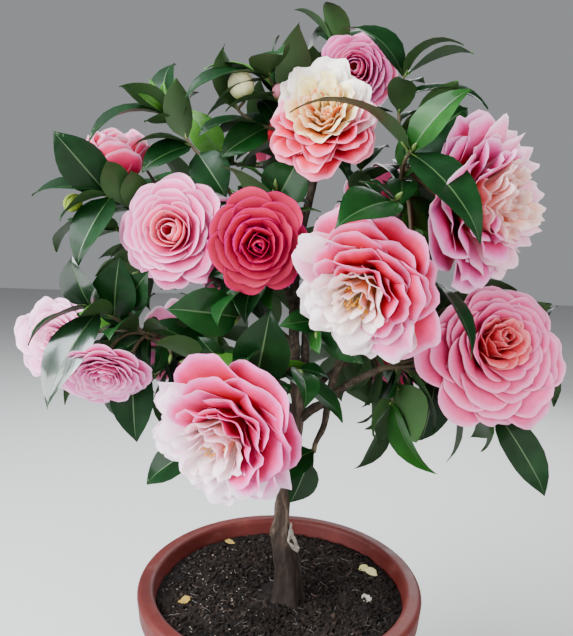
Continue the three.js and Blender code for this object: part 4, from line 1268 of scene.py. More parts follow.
# Rings of petals, from the outermost in: how many, where the tips stand, how high, how wide,
# how much a petal bends on its way, how ruffled it is, how far it wraps round the middle, and
# how loose it lies
RINGS = {
    "rosette": [
        (8, 1.0, -0.05, 0.78, -0.6, 0.02, 0, 0.2),
        (8, 0.88, 0.03, 0.78, -0.58, 0.02, 0, 0.2),
        (7, 0.74, 0.1, 0.74, -0.5, 0.02, 0.05, 0.25),
        (7, 0.6, 0.16, 0.66, -0.4, 0.02, 0.1, 0.3),
        (7, 0.46, 0.21, 0.52, -0.2, 0.02, 0.2, 0.5),
        (7, 0.35, 0.25, 0.38, 0, 0.025, 0.2, 0.8),
        (7, 0.24, 0.27, 0.3, 0.2, 0.025, 0.3, 0.9),
        (6, 0.13, 0.28, 0.24, 0.4, 0.02, 0.4, 0.8),
        (4, 0.05, 0.27, 0.2, 0.6, 0.01, 0.6, 0.6),
    ],
    "spiral": [
        (8, 1.0, -0.05, 0.76, -0.6, 0.014, 0, 0.15),
        (8, 0.87, 0.05, 0.78, -0.55, 0.014, 0.05, 0.15),
        (7, 0.72, 0.13, 0.78, -0.45, 0.014, 0.1, 0.2),
        (6, 0.57, 0.2, 0.8, -0.1, 0.014, 0.35, 0.2),
        (5, 0.43, 0.26, 0.78, 0.35, 0.012, 0.65, 0.2),
        (4, 0.3, 0.29, 0.66, 0.7, 0.01, 0.85, 0.2),
        (3, 0.18, 0.28, 0.5, 0.95, 0.006, 1, 0.1),
        (3, 0.08, 0.25, 0.34, 1.1, 0.002, 1, 0.1),
    ],
    "round": [
        (7, 1.0, -0.05, 0.86, -0.5, 0.01, 0, 0.15),
        (7, 0.83, 0.06, 0.86, -0.45, 0.01, 0, 0.15),
        (6, 0.65, 0.16, 0.86, -0.35, 0.01, 0.05, 0.15),
        (6, 0.47, 0.25, 0.74, -0.15, 0.01, 0.1, 0.15),
        (5, 0.31, 0.32, 0.6, 0.1, 0.005, 0.25, 0.1),
        (4, 0.17, 0.37, 0.5, 0.4, 0, 0.5, 0),
        (3, 0.07, 0.39, 0.42, 0.9, 0, 0.9, 0),
        (2, 0.02, 0.38, 0.36, 1.2, 0, 1, 0),
    ],
    "layered": [
        (7, 1.0, -0.06, 0.92, -0.55, 0.06, 0, 0.35),
        (7, 0.93, 0.05, 0.88, -0.5, 0.07, 0, 0.4),
        (7, 0.83, 0.15, 0.8, -0.4, 0.08, 0.05, 0.5),
        (8, 0.7, 0.24, 0.66, -0.25, 0.08, 0.1, 0.6),
        (8, 0.56, 0.31, 0.54, -0.1, 0.08, 0.15, 0.8),
        (8, 0.42, 0.34, 0.44, 0.05, 0.07, 0.2, 1),
        (6, 0.28, 0.34, 0.34, 0.15, 0.06, 0.3, 1),
        (4, 0.14, 0.32, 0.26, 0.3, 0.05, 0.4, 1),
    ],
    "ruffle": [
        (7, 1.0, -0.08, 0.92, -0.6, 0.05, 0, 0.35),
        (7, 0.93, 0.04, 0.86, -0.5, 0.07, 0, 0.4),
        (8, 0.84, 0.16, 0.7, -0.45, 0.08, 0.05, 0.6),
        (9, 0.72, 0.27, 0.56, -0.3, 0.09, 0.1, 0.8),
        (9, 0.6, 0.35, 0.46, -0.2, 0.09, 0.1, 1),
        (9, 0.46, 0.41, 0.4, -0.05, 0.08, 0.15, 1),
        (8, 0.33, 0.44, 0.34, 0.1, 0.08, 0.2, 1),
        (7, 0.2, 0.44, 0.3, 0.2, 0.07, 0.3, 1),
        (5, 0.08, 0.42, 0.26, 0.3, 0.06, 0.4, 1),
    ],
    "fan": [
        (8, 1.0, -0.04, 0.68, -0.55, 0.05, 0, 0.3),
        (8, 0.95, 0.04, 0.62, -0.5, 0.06, 0, 0.4),
        (9, 0.86, 0.12, 0.54, -0.45, 0.07, 0.05, 0.5),
        (9, 0.73, 0.2, 0.5, -0.35, 0.07, 0.1, 0.6),
        (9, 0.6, 0.27, 0.44, -0.2, 0.07, 0.1, 0.8),
        (8, 0.46, 0.32, 0.38, -0.05, 0.07, 0.15, 1),
        (7, 0.32, 0.35, 0.32, 0.1, 0.06, 0.3, 1),
        (6, 0.18, 0.36, 0.28, 0.25, 0.05, 0.4, 1),
        (4, 0.07, 0.35, 0.24, 0.4, 0.04, 0.5, 1),
    ],
    "cup": [
        (5, 0.96, 0.42, 1.2, 0.75, 0.03, 0.6, 0.3),
        (5, 0.8, 0.62, 1.15, 1.15, 0.03, 0.7, 0.3),
        (5, 0.6, 0.68, 1.0, 1.35, 0.02, 0.8, 0.3),
        (4, 0.4, 0.64, 0.8, 1.4, 0.02, 0.9, 0.3),
        (3, 0.2, 0.56, 0.56, 1.3, 0.01, 1, 0.2),
    ],
    "bud": [
        (4, 0.02, 1.15, 1.5, 2.7, 0, 1, 0),
        (4, 0, 1.1, 1.45, 2.5, 0, 1, 0),
        (3, 0, 1, 1.3, 2.4, 0, 1, 0),
    ],
}

# How far each ring is turned on from the one outside it, and how far petals stray from even turns
RING_TWIST = 0.35
BUD_TWIST = 0.4
STRAY = (-0.06, 0.06)
STRAY_LOOSE = (-0.3, 0.3)

# Where petals start, out and up from the middle, and how much smaller each ring of a bud is
OPEN_FOOT = (0.05, -0.4)
CUP_FOOT = (0.1, -0.86)
BUD_FOOT = (0.04, -1.1)
BUD_SHRINK = 0.07

# Green scales behind a bloom: how many, where they start and end by the petals' foot, and shape
CALYX_SCALES = 6
CALYX_OUT, CALYX_DROP = 0.01, 0.07
CALYX_TIP = (0.24, 0.1)
CALYX_SHAPE = (0.3, 0.9, 0, 0.3, 0)

# Colours of each bloom, as base, body and edge: on its near side and on its far side; the turn
# in degrees, from its right, that the near side lies at; and where along a petal the base gives
# way on either side
TONES = {
    "peach": (((252, 238, 170), (253, 243, 228), (253, 250, 247)),
              ((206, 6, 50), (228, 72, 106), (248, 176, 188)), 80, (0.3, 0.8), (0.5, 0.98)),
    "mauve": (((212, 20, 74), (228, 132, 170), (241, 190, 208)),
              ((210, 16, 66), (222, 116, 162), (238, 178, 202)), 300, (0.35, 0.85), (0.4, 0.9)),
    "ruffled": (((244, 180, 156), (248, 204, 210), (252, 232, 234)),
                ((206, 8, 40), (228, 130, 178), (246, 210, 226)), 0, (0.2, 0.7), (0.55, 0.98)),
    "rosette": (((214, 34, 70), (236, 132, 164), (247, 196, 210)),
                ((206, 24, 62), (228, 112, 152), (245, 186, 204)), 270, (0.3, 0.85), (0.35, 0.9)),
    "cream": (((250, 220, 170), (253, 236, 232), (254, 246, 245)),
              ((206, 2, 50), (226, 60, 122), (247, 180, 206)), 215, (0.25, 0.75), (0.58, 1)),
    "crimson": (((122, 0, 50), (190, 0, 92), (216, 0, 114)),
                ((114, 0, 44), (180, 0, 84), (208, 0, 106)), 90, (0.3, 0.9), (0.3, 0.9)),
    "blush": (((220, 66, 108), (236, 138, 172), (250, 208, 223)),
              ((212, 52, 96), (230, 122, 160), (247, 198, 214)), 170, (0.3, 0.88), (0.3, 0.88)),
    "goblet": (((210, 10, 70), (240, 130, 172), (250, 222, 232)),
               ((204, 4, 50), (232, 84, 132), (248, 204, 218)), 90, (0.2, 0.65), (0.3, 0.8)),
    "shell": (((226, 90, 130), (246, 196, 212), (251, 228, 234)),
              ((218, 66, 110), (240, 168, 194), (249, 216, 226)), 130, (0.3, 0.85), (0.3, 0.85)),
    "hanging": (((216, 60, 110), (240, 160, 192), (249, 214, 228)),
                ((208, 44, 96), (234, 142, 180), (247, 204, 220)), 250, (0.3, 0.85), (0.3, 0.85)),
    "frilled": (((252, 226, 200), (252, 230, 235), (253, 243, 246)),
                ((210, 4, 62), (228, 78, 144), (246, 176, 208)), 224, (0.3, 0.8), (0.52, 1)),
}
BACK_TONES = {"back_rosette": "rosette", "back_blush": "blush", "back_ruffled": "ruffled",
              "back_mauve": "mauve", "back_shell": "shell"}

# Where the base gives way on fallen petals and on buds, a bud's base, and how much lighter an edge
# is than a petal in one colour
PETAL_FADE = (0.42, 0.97)
BUD_FADE = (0.1, 0.6)
BUD_BASE_TONE = (150, 166, 78)
EDGE_LIGHTER = 8

# The green scales behind a bloom
CALYX_TONES = ((96, 124, 52),) * 3

# Where one side's colours give way to the other's, and how far the line between them strays
SIDES_MEET = (0.25, 0.7)
SIDES_STRAY = (-0.12, 0.12)

# All petal colours: deepened by a power, and cooler the redder they are
VIVID = 1.6
COOLER = (1, 0.76, 1.2)
LEAST_RED = 0.01

# The paler margin: where it sets in at the tip and at the sides, and how strong it is
TIP_MARGIN, TIP_MARGIN_SHARE = (0.88, 1), 0.85
SIDE_MARGIN, SIDE_MARGIN_SHARE = (0.8, 1), 0.5
SIDE_MARGIN_PART = (0.5, 0.9)

# Stamens: how many in which bloom, how far and how long they lean, how they stand and bow, their
# depth in the heart, the thickness of thread and head, and where the head begins and ends
STAMENS = {"cream": 46, "frilled": 16, "back_ruffled": 40}
STAMEN_LEANS = (0.02, 0.42)
STAMEN_LENGTHS = (0.46, 0.58)
STAMEN_FOOT = 0.25
STAMEN_BOW = 0.03
STAMEN_DEPTH = 0.36
STAMEN_SIDES = 4
THREAD, THREAD_TONE = (0.55, 0.5, 0.4), (250, 232, 170)
HEAD, HEAD_TONE = (1.1, 0.8), (240, 166, 30)
HEAD_ENDS = ((0, 0, -0.6), (0, 0, 1.5))

# Hearts that differ: petals whose tips stand nearer the middle than this take these colours, for
# the share that follows
HEARTS = {
    "peach": (0.62, ((246, 206, 110), (252, 240, 180), (253, 247, 220))),
    "ruffled": (0.5, ((242, 166, 120), (250, 216, 194), (253, 238, 226))),
    "rosette": (0.36, ((216, 60, 70), (240, 140, 136), (249, 190, 178))),
    "blush": (0.32, ((228, 96, 112), (242, 156, 164), (250, 208, 208))),
    "cream": (0.44, ((250, 214, 150), (253, 238, 226), (254, 246, 240))),
    "frilled": (0.44, ((250, 218, 180), (252, 232, 228), (253, 242, 240))),
}
HEART_SHARE = 0.9

# Small narrow petals among the heart's: how many, and base, body and edge; their shape as a ring
# of one, and the turn from one to the next
PETALOIDS = {
    "peach": (6, ((226, 104, 10), (244, 160, 60), (250, 206, 130))),
    "ruffled": (6, ((230, 110, 50), (244, 168, 120), (251, 220, 200))),
}
PETALOID_RING = (1, 0.26, 0.38, 0.15, 0.1, 0.05, 0, 1.0)
PETALOID_TURN = 2.4

# Hearts that lie off the middle: which way, in degrees from the right, and how far; and the share
# of that shift that stamens take
HEART_SHIFTS = {
    "peach": (30, 0.16), "mauve": (124, 0.26), "ruffled": (0, 0.12), "rosette": (67, 0.32),
    "cream": (232, 0.24), "crimson": (290, 0.1), "frilled": (224, 0.3),
    "back_ruffled": (250, 0.2), "back_rosette": (80, 0.2),
}
STAMEN_SHIFT = 0.9

# How far the petals of a bloom reach, as parts of its radius, at even turns from its right
OUTLINES = {
    "peach": (0.8, 0.78, 0.78, 0.84, 0.98, 1.08, 0.88, 0.66,
              0.74, 0.9, 0.84, 0.74, 0.96, 0.98, 0.98, 0.85),
    "frilled": (0.86, 0.74, 0.96, 0.84, 0.64, 1.1, 0.86, 1.04,
                1.05, 1.1, 1.2, 1.18, 1.08, 0.92, 1.06, 0.94),
    "cream": (0.86, 0.9, 0.78, 1.06, 0.84, 1.04, 1.08, 0.98,
              0.82, 1.0, 1.04, 0.98, 1.04, 1.1, 1.06, 0.94),
    "ruffled": (1.12, 1.14, 1.02, 0.95, 0.98, 0.84, 0.8, 0.84,
                1.14, 1.02, 0.76, 0.96, 0.92, 0.98, 0.92, 1.12),
    "rosette": (1.04, 1.02, 1.02, 0.98, 0.94, 0.86, 0.84, 0.9,
                1.04, 0.94, 0.95, 0.98, 0.86, 0.9, 1.04, 1.0),
    "crimson": (0.94, 1.02, 1.0, 0.97, 0.97, 0.95, 0.94, 0.9,
                0.94, 0.92, 0.95, 1.03, 1.0, 0.99, 1.02, 0.88),
    "blush": (0.94, 1.0, 1.02, 1.01, 1.02, 1.0, 0.97, 0.98,
              0.97, 0.94, 0.94, 0.98, 1.02, 1.06, 1.1, 1.0),
    "shell": (0.8, 0.8, 0.8, 0.8, 0.8, 0.86, 0.96, 1.2,
              1.18, 1.14, 1.08, 1.0, 0.9, 0.8, 0.8, 0.8),
    "hanging": (0.92, 0.86, 0.8, 0.8, 0.8, 0.8, 0.8, 0.8,
                0.85, 1.04, 1.18, 1.18, 1.14, 1.0, 0.92, 0.92),
    "mauve": (0.88, 0.87, 0.86, 0.86, 0.92, 1.0, 1.14, 1.0,
              0.85, 0.8, 0.8, 0.8, 0.8, 0.82, 0.84, 0.84),
}

# A further factor for all petals, how far in the outline still holds, and how much a petal widens
# with its reach
REACH = 1.05
OUTLINE_HOLD = 1.2
REACH_WIDENS = 0.4

# Petals on the near side of these forms are narrower, by this share
NARROW_NEAR = ("layered", "ruffle")
NARROWER = 0.3


def petal_tones(part, side, palette, fade, shade):
    """A colour for each point of a petal: base, body and a paler margin."""
    base, body, edge = (np.array(tone(*colour)) ** VIVID for colour in palette)
    to_body = smooth(part, *fade)[..., None]
    colour = base * (1 - to_body) + body * to_body
    at_tip = smooth(part, *TIP_MARGIN) * TIP_MARGIN_SHARE
    at_side = smooth(abs(side), *SIDE_MARGIN) * SIDE_MARGIN_SHARE * smooth(part, *SIDE_MARGIN_PART)
    to_edge = np.clip(at_tip + at_side, 0, 1)[..., None]
    colour = colour * (1 - to_edge) + edge * to_edge
    redness = 1 - colour[..., 1:2] / np.maximum(colour[..., :1], LEAST_RED)
    return np.clip(colour * (1 + redness * (np.array(COOLER) - 1)) * shade, 0, 1)


def petal_line(foot, tip, bow, curl):
    """A petal's middle line from foot to tip: even steps along it, and out, up and heading there."""
    steps = np.linspace(0, 1, PETAL_STEPS + 1)
    heading = bow * (steps - 0.5) - curl * smooth(steps, *CURL_PART)
    middles = (heading[1:] + heading[:-1]) / 2
    line = np.concatenate([[0], np.cumsum(np.exp(1j * middles))]) / PETAL_STEPS
    turning = (tip - foot) / line[-1]
    line = foot + line * turning
    return steps, line.real, line.imag, heading + np.angle(turning)


def closed_petal(grid, *layers):
    """A grid of points made thick, as points and faces, and further layers for the same points."""
    normal = np.cross(np.gradient(grid, axis=0), np.gradient(grid, axis=1))
    normal /= np.maximum(np.linalg.norm(normal, axis=-1), 1e-9)[..., None]
    inner = np.zeros(grid.shape[:2], dtype=bool)
    inner[1:-1, 1:-1] = True
    index = np.arange(inner.size).reshape(inner.shape)
    below = index.copy()
    below[inner] = index.size + np.arange(inner.sum())
    faces = [grid_faces(index)[:, [0, 3, 2, 1]], grid_faces(below)]
    rise = normal * PETAL_THICK
    upper = grid + rise * inner[..., None]
    points = np.concatenate([upper.reshape(-1, 3), (grid - rise)[inner]])
    return [points, faces] + [np.concatenate([layer.reshape(inner.size, -1), layer[inner]])
                              for layer in layers]


def petal(radius, foot, ring, turn, palette, number, lean=1, fade=PETAL_FADE, shift=(0, 0)):
    """Points, faces, tones and texture places of one petal, in the bloom's own frame."""
    _, tip_out, tip_high, width, bow, ruffle, wrap, loose = ring
    width *= number(*WIDTHS)
    tip = complex(tip_out * (1 + number(*REACHES) * loose), tip_high + number(*HEIGHTS) * loose)
    curl = number(CURLS[0], CURLS[1] + CURL_LOOSE * loose) * (1 - wrap)
    steps, *line = petal_line(complex(*foot), tip, bow, curl)

    even = np.linspace(-1, 1, PETAL_COLUMNS)
    columns = even + CLOSER_TO_SIDES * (np.sin(even * math.pi / 2) - even)
    rows = np.linspace(0, 1, PETAL_ROWS) ** CLOSER_TO_TIP
    part, side = np.meshgrid(rows, columns, indexing="ij")
    notch = number(0, NOTCH_DEPTH) if number(0, 1) > UNNOTCHED else 0
    phase, waves = number(*ANY_PHASE), number(*WAVES)
    scallops = np.sin(waves * SCALLOP_WAVES * side + phase) - 1
    margin = (1 - PETAL_DOME * (1 - np.sqrt(1 - DOME_SIDES * side ** 2))
              - notch * np.exp(-(side / NOTCH_HALF) ** 2)
              + (SCALLOP + ruffle * SCALLOP_RUFFLED) * scallops)
    run = np.minimum(part * margin, 1)
    out, high, angle = (np.interp(run, steps, values) for values in line)
    half = width / 2 * (FOOT_SHARE + (1 - FOOT_SHARE) * smooth(part, 0, FULL_WIDTH_FROM))
    across = half * side

    hollow = number(*HOLLOWS) * (1 - wrap) * half * side ** 2 * smooth(part, *HOLLOW_PART)
    frill = (ruffle * run ** 2 * np.sin(waves * math.pi * side + phase)
             * (FRILL_MIDDLE + (1 - FRILL_MIDDLE) * abs(side)))
    tilt = lean * LEAN_TILT + number(*TILTS) * loose * (1 - wrap)
    lift = hollow + frill + tilt * across * smooth(part, *TILT_PART)
    out = out - np.sin(angle) * lift
    high = high + np.cos(angle) * lift
    swing = wrap * across / np.maximum(out, TIGHTEST_WRAP)
    x = out * np.cos(swing)
    y = out * np.sin(swing) + (1 - wrap) * across
    moved = smooth(part, *SHIFT_PART)
    grid = np.stack([x * math.cos(turn) - y * math.sin(turn) + shift[0] * moved,
                     x * math.sin(turn) + y * math.cos(turn) + shift[1] * moved,
                     high], axis=-1) * radius
    tones = petal_tones(part, side, palette, fade, number(*SHADES))
    return closed_petal(grid, tones, np.stack([side * 0.5 + 0.5, part], axis=-1))


def between(first, second, share):
    """Numbers that lie a share of the way from the first ones to the second ones."""
    return tuple(a * (1 - share) + b * share for a, b in zip(first, second))


def blend_palettes(near, far, share):
    """Three colours that lie a share of the way from three others to three more."""
    return tuple(between(one, other, share) for one, other in zip(near, far))


def even_tone(colour, points):
    """One colour for every point."""
    return np.tile(colour, (len(points), 1))


def ring_turn(k, level, count, twist):
    """The even turn of one petal of a ring; every second ring stands in the gaps of the others."""
    return 2 * math.pi * (k + 0.5 * (level % 2)) / count + level * twist


def stamens(gathering, place, count, radius, number):
    """Fine pale threads with a yellow head each, in a loose tuft."""
    for _ in range(count):
        turn, lean = number(0, 2 * math.pi), number(*STAMEN_LEANS)
        length = number(*STAMEN_LENGTHS)
        leaning = math.sin(lean) * length
        tip = at((math.cos(turn) * leaning, math.sin(turn) * leaning, math.cos(lean) * length))
        foot = tip * (STAMEN_FOOT, STAMEN_FOOT, 0)
        line = at((foot, (foot + tip) / 2 + (0, 0, STAMEN_BOW), tip))
        line = (line - (0, 0, STAMEN_DEPTH)) * radius
        head = line[-1] + at(HEAD_ENDS)
        for path, thick, colour in ((line, THREAD, THREAD_TONE), (head, HEAD, HEAD_TONE)):
            points, faces = tube(path, thick, STAMEN_SIDES)
            gathering.add(place(points), faces, 0, even_tone(tone(*colour), points))


def bloom_piece(bloom, seed, finish):
    """One bloom: its rings of petals, a green calyx behind, and stamens in an open heart."""
    name, mass, middle, radius, facing, form = bloom
    number = seeded(seed)
    axes = np.array(facing_frame(facing))
    near, far, toward, near_fade, far_fade = TONES[BACK_TONES.get(name, name)]
    foot = CUP_FOOT if form == "cup" else OPEN_FOOT
    heart_limit, heart = HEARTS.get(BACK_TONES.get(name, name), (0, None))
    heart_way, heart_off = HEART_SHIFTS.get(name, (0, 0))
    heart_way = math.radians(heart_way)
    shift = heart_off * at((math.cos(heart_way), math.sin(heart_way)))
    outline = OUTLINES.get(name, (1,))
    gathering = Gathering()

    def place(points):
        """Points of the bloom where they stand, drawn in until they keep to its own space."""
        offset = points @ axes
        for _ in range(DRAW_IN_STEPS):
            outside = ~keeps_to_space(mass, at(middle) + offset)
            if not outside.any():
                break
            offset[outside] *= DRAW_IN
        return at(middle) + offset

    def add_petal(start, ring, turn, palette, lean=1, fade=near_fade, moved=(0, 0)):
        """One petal of this bloom, from where it starts."""
        points, faces, tones, places = petal(radius, start, ring, turn, palette, number, lean,
                                             fade, moved)
        gathering.add(place(points), faces, 0, tones, places)

    for level, (count, tip_out, tip_high, width, *bend, loose) in enumerate(RINGS[form]):
        for k in range(count):
            turn = ring_turn(k, level, count, RING_TWIST)
            turn += number(*STRAY) + number(*STRAY_LOOSE) * loose
            away = 0.5 - 0.5 * math.cos(turn - math.radians(toward)) + number(*SIDES_STRAY)
            share = float(smooth(away, *SIDES_MEET))
            palette = blend_palettes(near, far, share)
            if tip_out < heart_limit:
                palette = blend_palettes(palette, heart, HEART_SHARE)
            reach = np.interp(turn, even_turns(len(outline)), outline, period=2 * math.pi)
            reach = REACH * (1 + (reach - 1) * min(tip_out * OUTLINE_HOLD, 1))
            wide = width * (1 + REACH_WIDENS * (reach - 1))
            if form in NARROW_NEAR:
                wide *= 1 - NARROWER * (1 - share)
            shaped = (count, tip_out * reach, tip_high, wide, *bend, loose)
            add_petal(foot, shaped, turn, palette, 1 if level % 2 else -1,
                      between(near_fade, far_fade, share), shift * (1 - tip_out))
    scale = (CALYX_SCALES, foot[0] + CALYX_TIP[0], foot[1] + CALYX_TIP[1], *CALYX_SHAPE)
    for turn in even_turns(CALYX_SCALES):
        add_petal((CALYX_OUT, foot[1] - CALYX_DROP), scale, turn, CALYX_TONES)
    count, palette = PETALOIDS.get(name, (0, None))
    for k in range(count):
        add_petal(foot, PETALOID_RING, PETALOID_TURN * k, palette, 1, near_fade, shift)
    tuft = at((*shift, 0)) * radius * STAMEN_SHIFT
    stamens(gathering, lambda points: place(points + tuft), STAMENS.get(name, 0), radius, number)
    return gathering.piece("blossom_" + name, [finish], "foliage", sharp=75, toned=True)


def lighter(colour):
    """A colour for the edge of a petal in one colour."""
    return tuple(min(part + EDGE_LIGHTER, 255) for part in colour)


def buds_piece(finish):
    """Closed flower buds: three rings of petals each, wrapped round one another."""
    gathering = Gathering()
    for index, (_, middle, radius, way, colour) in enumerate(BUDS):
        number = seeded(BUD_SEED + index)
        palette = (BUD_BASE_TONE, colour, lighter(colour))
        for level, ring in enumerate(RINGS["bud"]):
            size = radius * (1 - BUD_SHRINK * level)
            for k in range(ring[0]):
                points, faces, tones, places = petal(
                    size, BUD_FOOT, ring, ring_turn(k, level, ring[0], BUD_TWIST), palette,
                    number, 1, BUD_FADE)
                gathering.add(oriented(points, at(middle), way), faces, 0, tones, places)
    return gathering.piece("flower_buds", [finish], "foliage", sharp=75, toned=True)


# Pot and soil

POT_SIDES = 144

# The foot under the base: how far its two edges stand in, how high the hollow is, and the bevel
FOOT_EDGES = (12, 9)
FOOT_HOLLOW = 3.0
BASE_BEVEL = 1.5

# The small rounds where the band steps out: out from the neck and up, in from the band and down
NECK_ROUND = (0.4, 0.6)
BAND_ROUND = (1.6, 0.4)
BAND_CORNER = (0.3, 0.4)
LIP_STEPS = 7

# Parts of the way up the wall, up the band and down the inside that the profile passes
WALL_PARTS = np.linspace(0.06, 0.96, 16)
BAND_PARTS = np.linspace(0.1, 0.95, 5)
INSIDE_PARTS = np.linspace(0.96, 0, 14)


def straight(start, end, parts):
    """Places on a straight line, at the given parts of its length."""
    (out, high), (end_out, end_high) = start, end
    return [(out + (end_out - out) * part, high + (end_high - high) * part) for part in parts]


def lip_round(out, first, last):
    """Places on a quarter of the rolled lip, from one turn to another."""
    return [(out + POT_LIP_ROUND * math.cos(turn),
             POT_HEIGHT - POT_LIP_ROUND + POT_LIP_ROUND * math.sin(turn))
            for turn in np.linspace(first, last, LIP_STEPS)]


def pot_piece(finish):
    """A tapered round shell with a stepped band under a rolled lip."""
    inner = POT_NECK_RADIUS - POT_WALL
    neck_top = POT_HEIGHT - POT_RIM_BAND - POT_BAND_STEP
    band_foot, band_low = POT_RIM_RADIUS - POT_BAND_DRAFT, POT_HEIGHT - POT_RIM_BAND
    lip_low = POT_HEIGHT - POT_LIP_ROUND
    profile = [(0, FOOT_HOLLOW), (POT_BASE_RADIUS - FOOT_EDGES[0], FOOT_HOLLOW),
               (POT_BASE_RADIUS - FOOT_EDGES[1], 0), (POT_BASE_RADIUS - BASE_BEVEL, 0),
               (POT_BASE_RADIUS, BASE_BEVEL)]
    profile += straight((POT_BASE_RADIUS, 0), (POT_NECK_RADIUS, neck_top), WALL_PARTS)
    profile += [(POT_NECK_RADIUS, neck_top),
                (POT_NECK_RADIUS + NECK_ROUND[0], neck_top + NECK_ROUND[1]),
                (band_foot - BAND_ROUND[0], band_low - BAND_ROUND[1]),
                (band_foot - BAND_CORNER[0], band_low + BAND_CORNER[1])]
    profile += straight((band_foot, band_low), (POT_RIM_RADIUS, lip_low), BAND_PARTS)
    profile += lip_round(POT_RIM_RADIUS - POT_LIP_ROUND, 0, math.pi / 2)
    profile += lip_round(inner + POT_LIP_ROUND, math.pi / 2, math.pi)
    profile += straight((POT_BASE_RADIUS - POT_WALL, POT_FLOOR), (inner, lip_low), INSIDE_PARTS)
    gathering = Gathering()
    gathering.add(*lathe(profile + [(0, POT_FLOOR)], POT_SIDES))
    return gathering.piece("pot_shell", [finish], "pot", sharp=42)


# The soil's grid, with rings closer towards its edge; its radius, the radius at which it is as
# high as its edge, and how wide its foot is for its top
SOIL_SIDES = 150
SOIL_RINGS = 62
CLOSER_TO_EDGE = 0.8
SOIL_RADIUS = 121.6
SOIL_EDGE = 123
SOIL_FOOT = 0.735

# Its lumps as size, seed and height, and how far it lies under the crumbs
SOIL_LAYERS = [(14, 3, 1.5), (6, 4, 1.5), (2.6, 6, 0.9)]
SOIL_ROUGH = 1.2
SOIL_UNDER = 0.6

# How low crumbs lie, and the distances from the middle between which they come down to that
SOIL_SETTLE = 1.2
SETTLE_FROM, SETTLE_TO = 26, 40


def soil_height(out):
    """Where loose crumbs lie: a little low, so that their tops reach the solid soil's height."""
    top = np.interp(out, [0, SOIL_FLAT_RADIUS, SOIL_CREST_RADIUS, SOIL_EDGE],
                    [SOIL_TOP, SOIL_TOP, SOIL_TOP + SOIL_CREST_RISE, SOIL_TOP + SOIL_EDGE_RISE])
    settled = np.clip((out - SETTLE_FROM) / (SETTLE_TO - SETTLE_FROM), 0, 1)
    return top - SOIL_SETTLE * settled


def soil_piece(finish):
    """The soil in the pot, with a loose, crumbly top."""
    outs = np.linspace(0, 1, SOIL_RINGS)[:0:-1] ** CLOSER_TO_EDGE * SOIL_RADIUS
    out, turn = np.meshgrid(outs, even_turns(SOIL_SIDES), indexing="ij")
    x, y = out * np.cos(turn), out * np.sin(turn)
    flat = rows_of(x, y, np.zeros_like(x))
    rough = sum(relief(flat, size, seed) * height for size, seed, height in SOIL_LAYERS)
    top = rows_of(x, y, soil_height(out) - SOIL_UNDER + rough.reshape(x.shape) * SOIL_ROUGH)
    floor = POT_FLOOR + CLEARANCE
    foot = rows_of(x[0] * SOIL_FOOT, y[0] * SOIL_FOOT, np.full(SOIL_SIDES, floor))
    ends = at([[0, 0, floor], [0, 0, SOIL_TOP]])
    gathering = Gathering()
    gathering.add(np.concatenate([foot, top, ends]), tube_faces(SOIL_RINGS, SOIL_SIDES))
    return gathering.piece("soil_bed", [finish], "soil", sharp=89)


# Fallen petals on the soil: place, turn, size and colour; their shape as a ring of one; their foot
FALLEN = [
    ((84, 39, 226.4), 0.4, 13, (214, 206, 150)),
    ((103, 29, 226.4), 2.3, 15, (226, 216, 168)),
    ((84, -20, 226.4), 1.2, 12, (206, 200, 186)),
    ((-53, 89, 226.4), 2.9, 12, (196, 176, 104)),
    ((-98, -28, 226.4), 0.2, 12, (190, 170, 100)),
    ((52, -92, 226.4), 4.2, 14, (238, 206, 204)),
]
FALLEN_RING = (1, 1.0, 0.14, 0.8, 0.5, 0.05, 0, 0.3)
FALLEN_FOOT = (0.02, 0)

# Pale specks: how many, between which turns and parts of the soil's area out to a radius, how
# big, how high on the soil, how dark they may be, and their outline for one of size 1
SPECKS = 90
SPECK_TURNS = (1.6, 4.4)
SPECK_PLACES, SPECK_REACH = (0.1, 0.95), 116
SPECK_SIZES = (0.5, 1.3)
SPECK_HEIGHTS = (1.2, 2.4)
SPECK_SHADES = (0.35, 1)
SPECK_TONE = (118, 108, 98)
SPECK_OUTLINE = at([(0, -0.4), (1, 0), (0.7, 0.5), (0, 0.6)])
SPECK_SIDES = 5

# Root fibres: how many, where and how long, how they rise, bend and sink from one step to the
# next, how thick, how dark, and how near the pot's wall they may come
FIBRES = 170
FIBRE_PLACES, FIBRE_REACH = (0.03, 0.95), 120
FIBRE_LENGTHS = (4, 12)
FIBRE_HEIGHTS = (0.6, 2.4)
FIBRE_RISES = (-0.1, 0.25)
FIBRE_STEPS = 4
FIBRE_BENDS = (-0.6, 0.6)
FIBRE_SINKS = (-0.25, 0.12)
FIBRE_RADII = (0.25, 0.45)
FIBRE_SHADES = (0.5, 1.3)
FIBRE_TONE = (72, 70, 66)
FIBRE_SIDES = 4
FIBRE_LIMIT = 119


def on_soil(number, turns, places, reach):
    """A random place over the soil, as its turn and its distance from the middle."""
    return number(*turns), math.sqrt(number(*places)) * reach


def over_soil(turn, out, height):
    """The place at that turn and distance, a height over the crumbs."""
    return at((out * math.cos(turn), out * math.sin(turn), soil_height(out) + height))


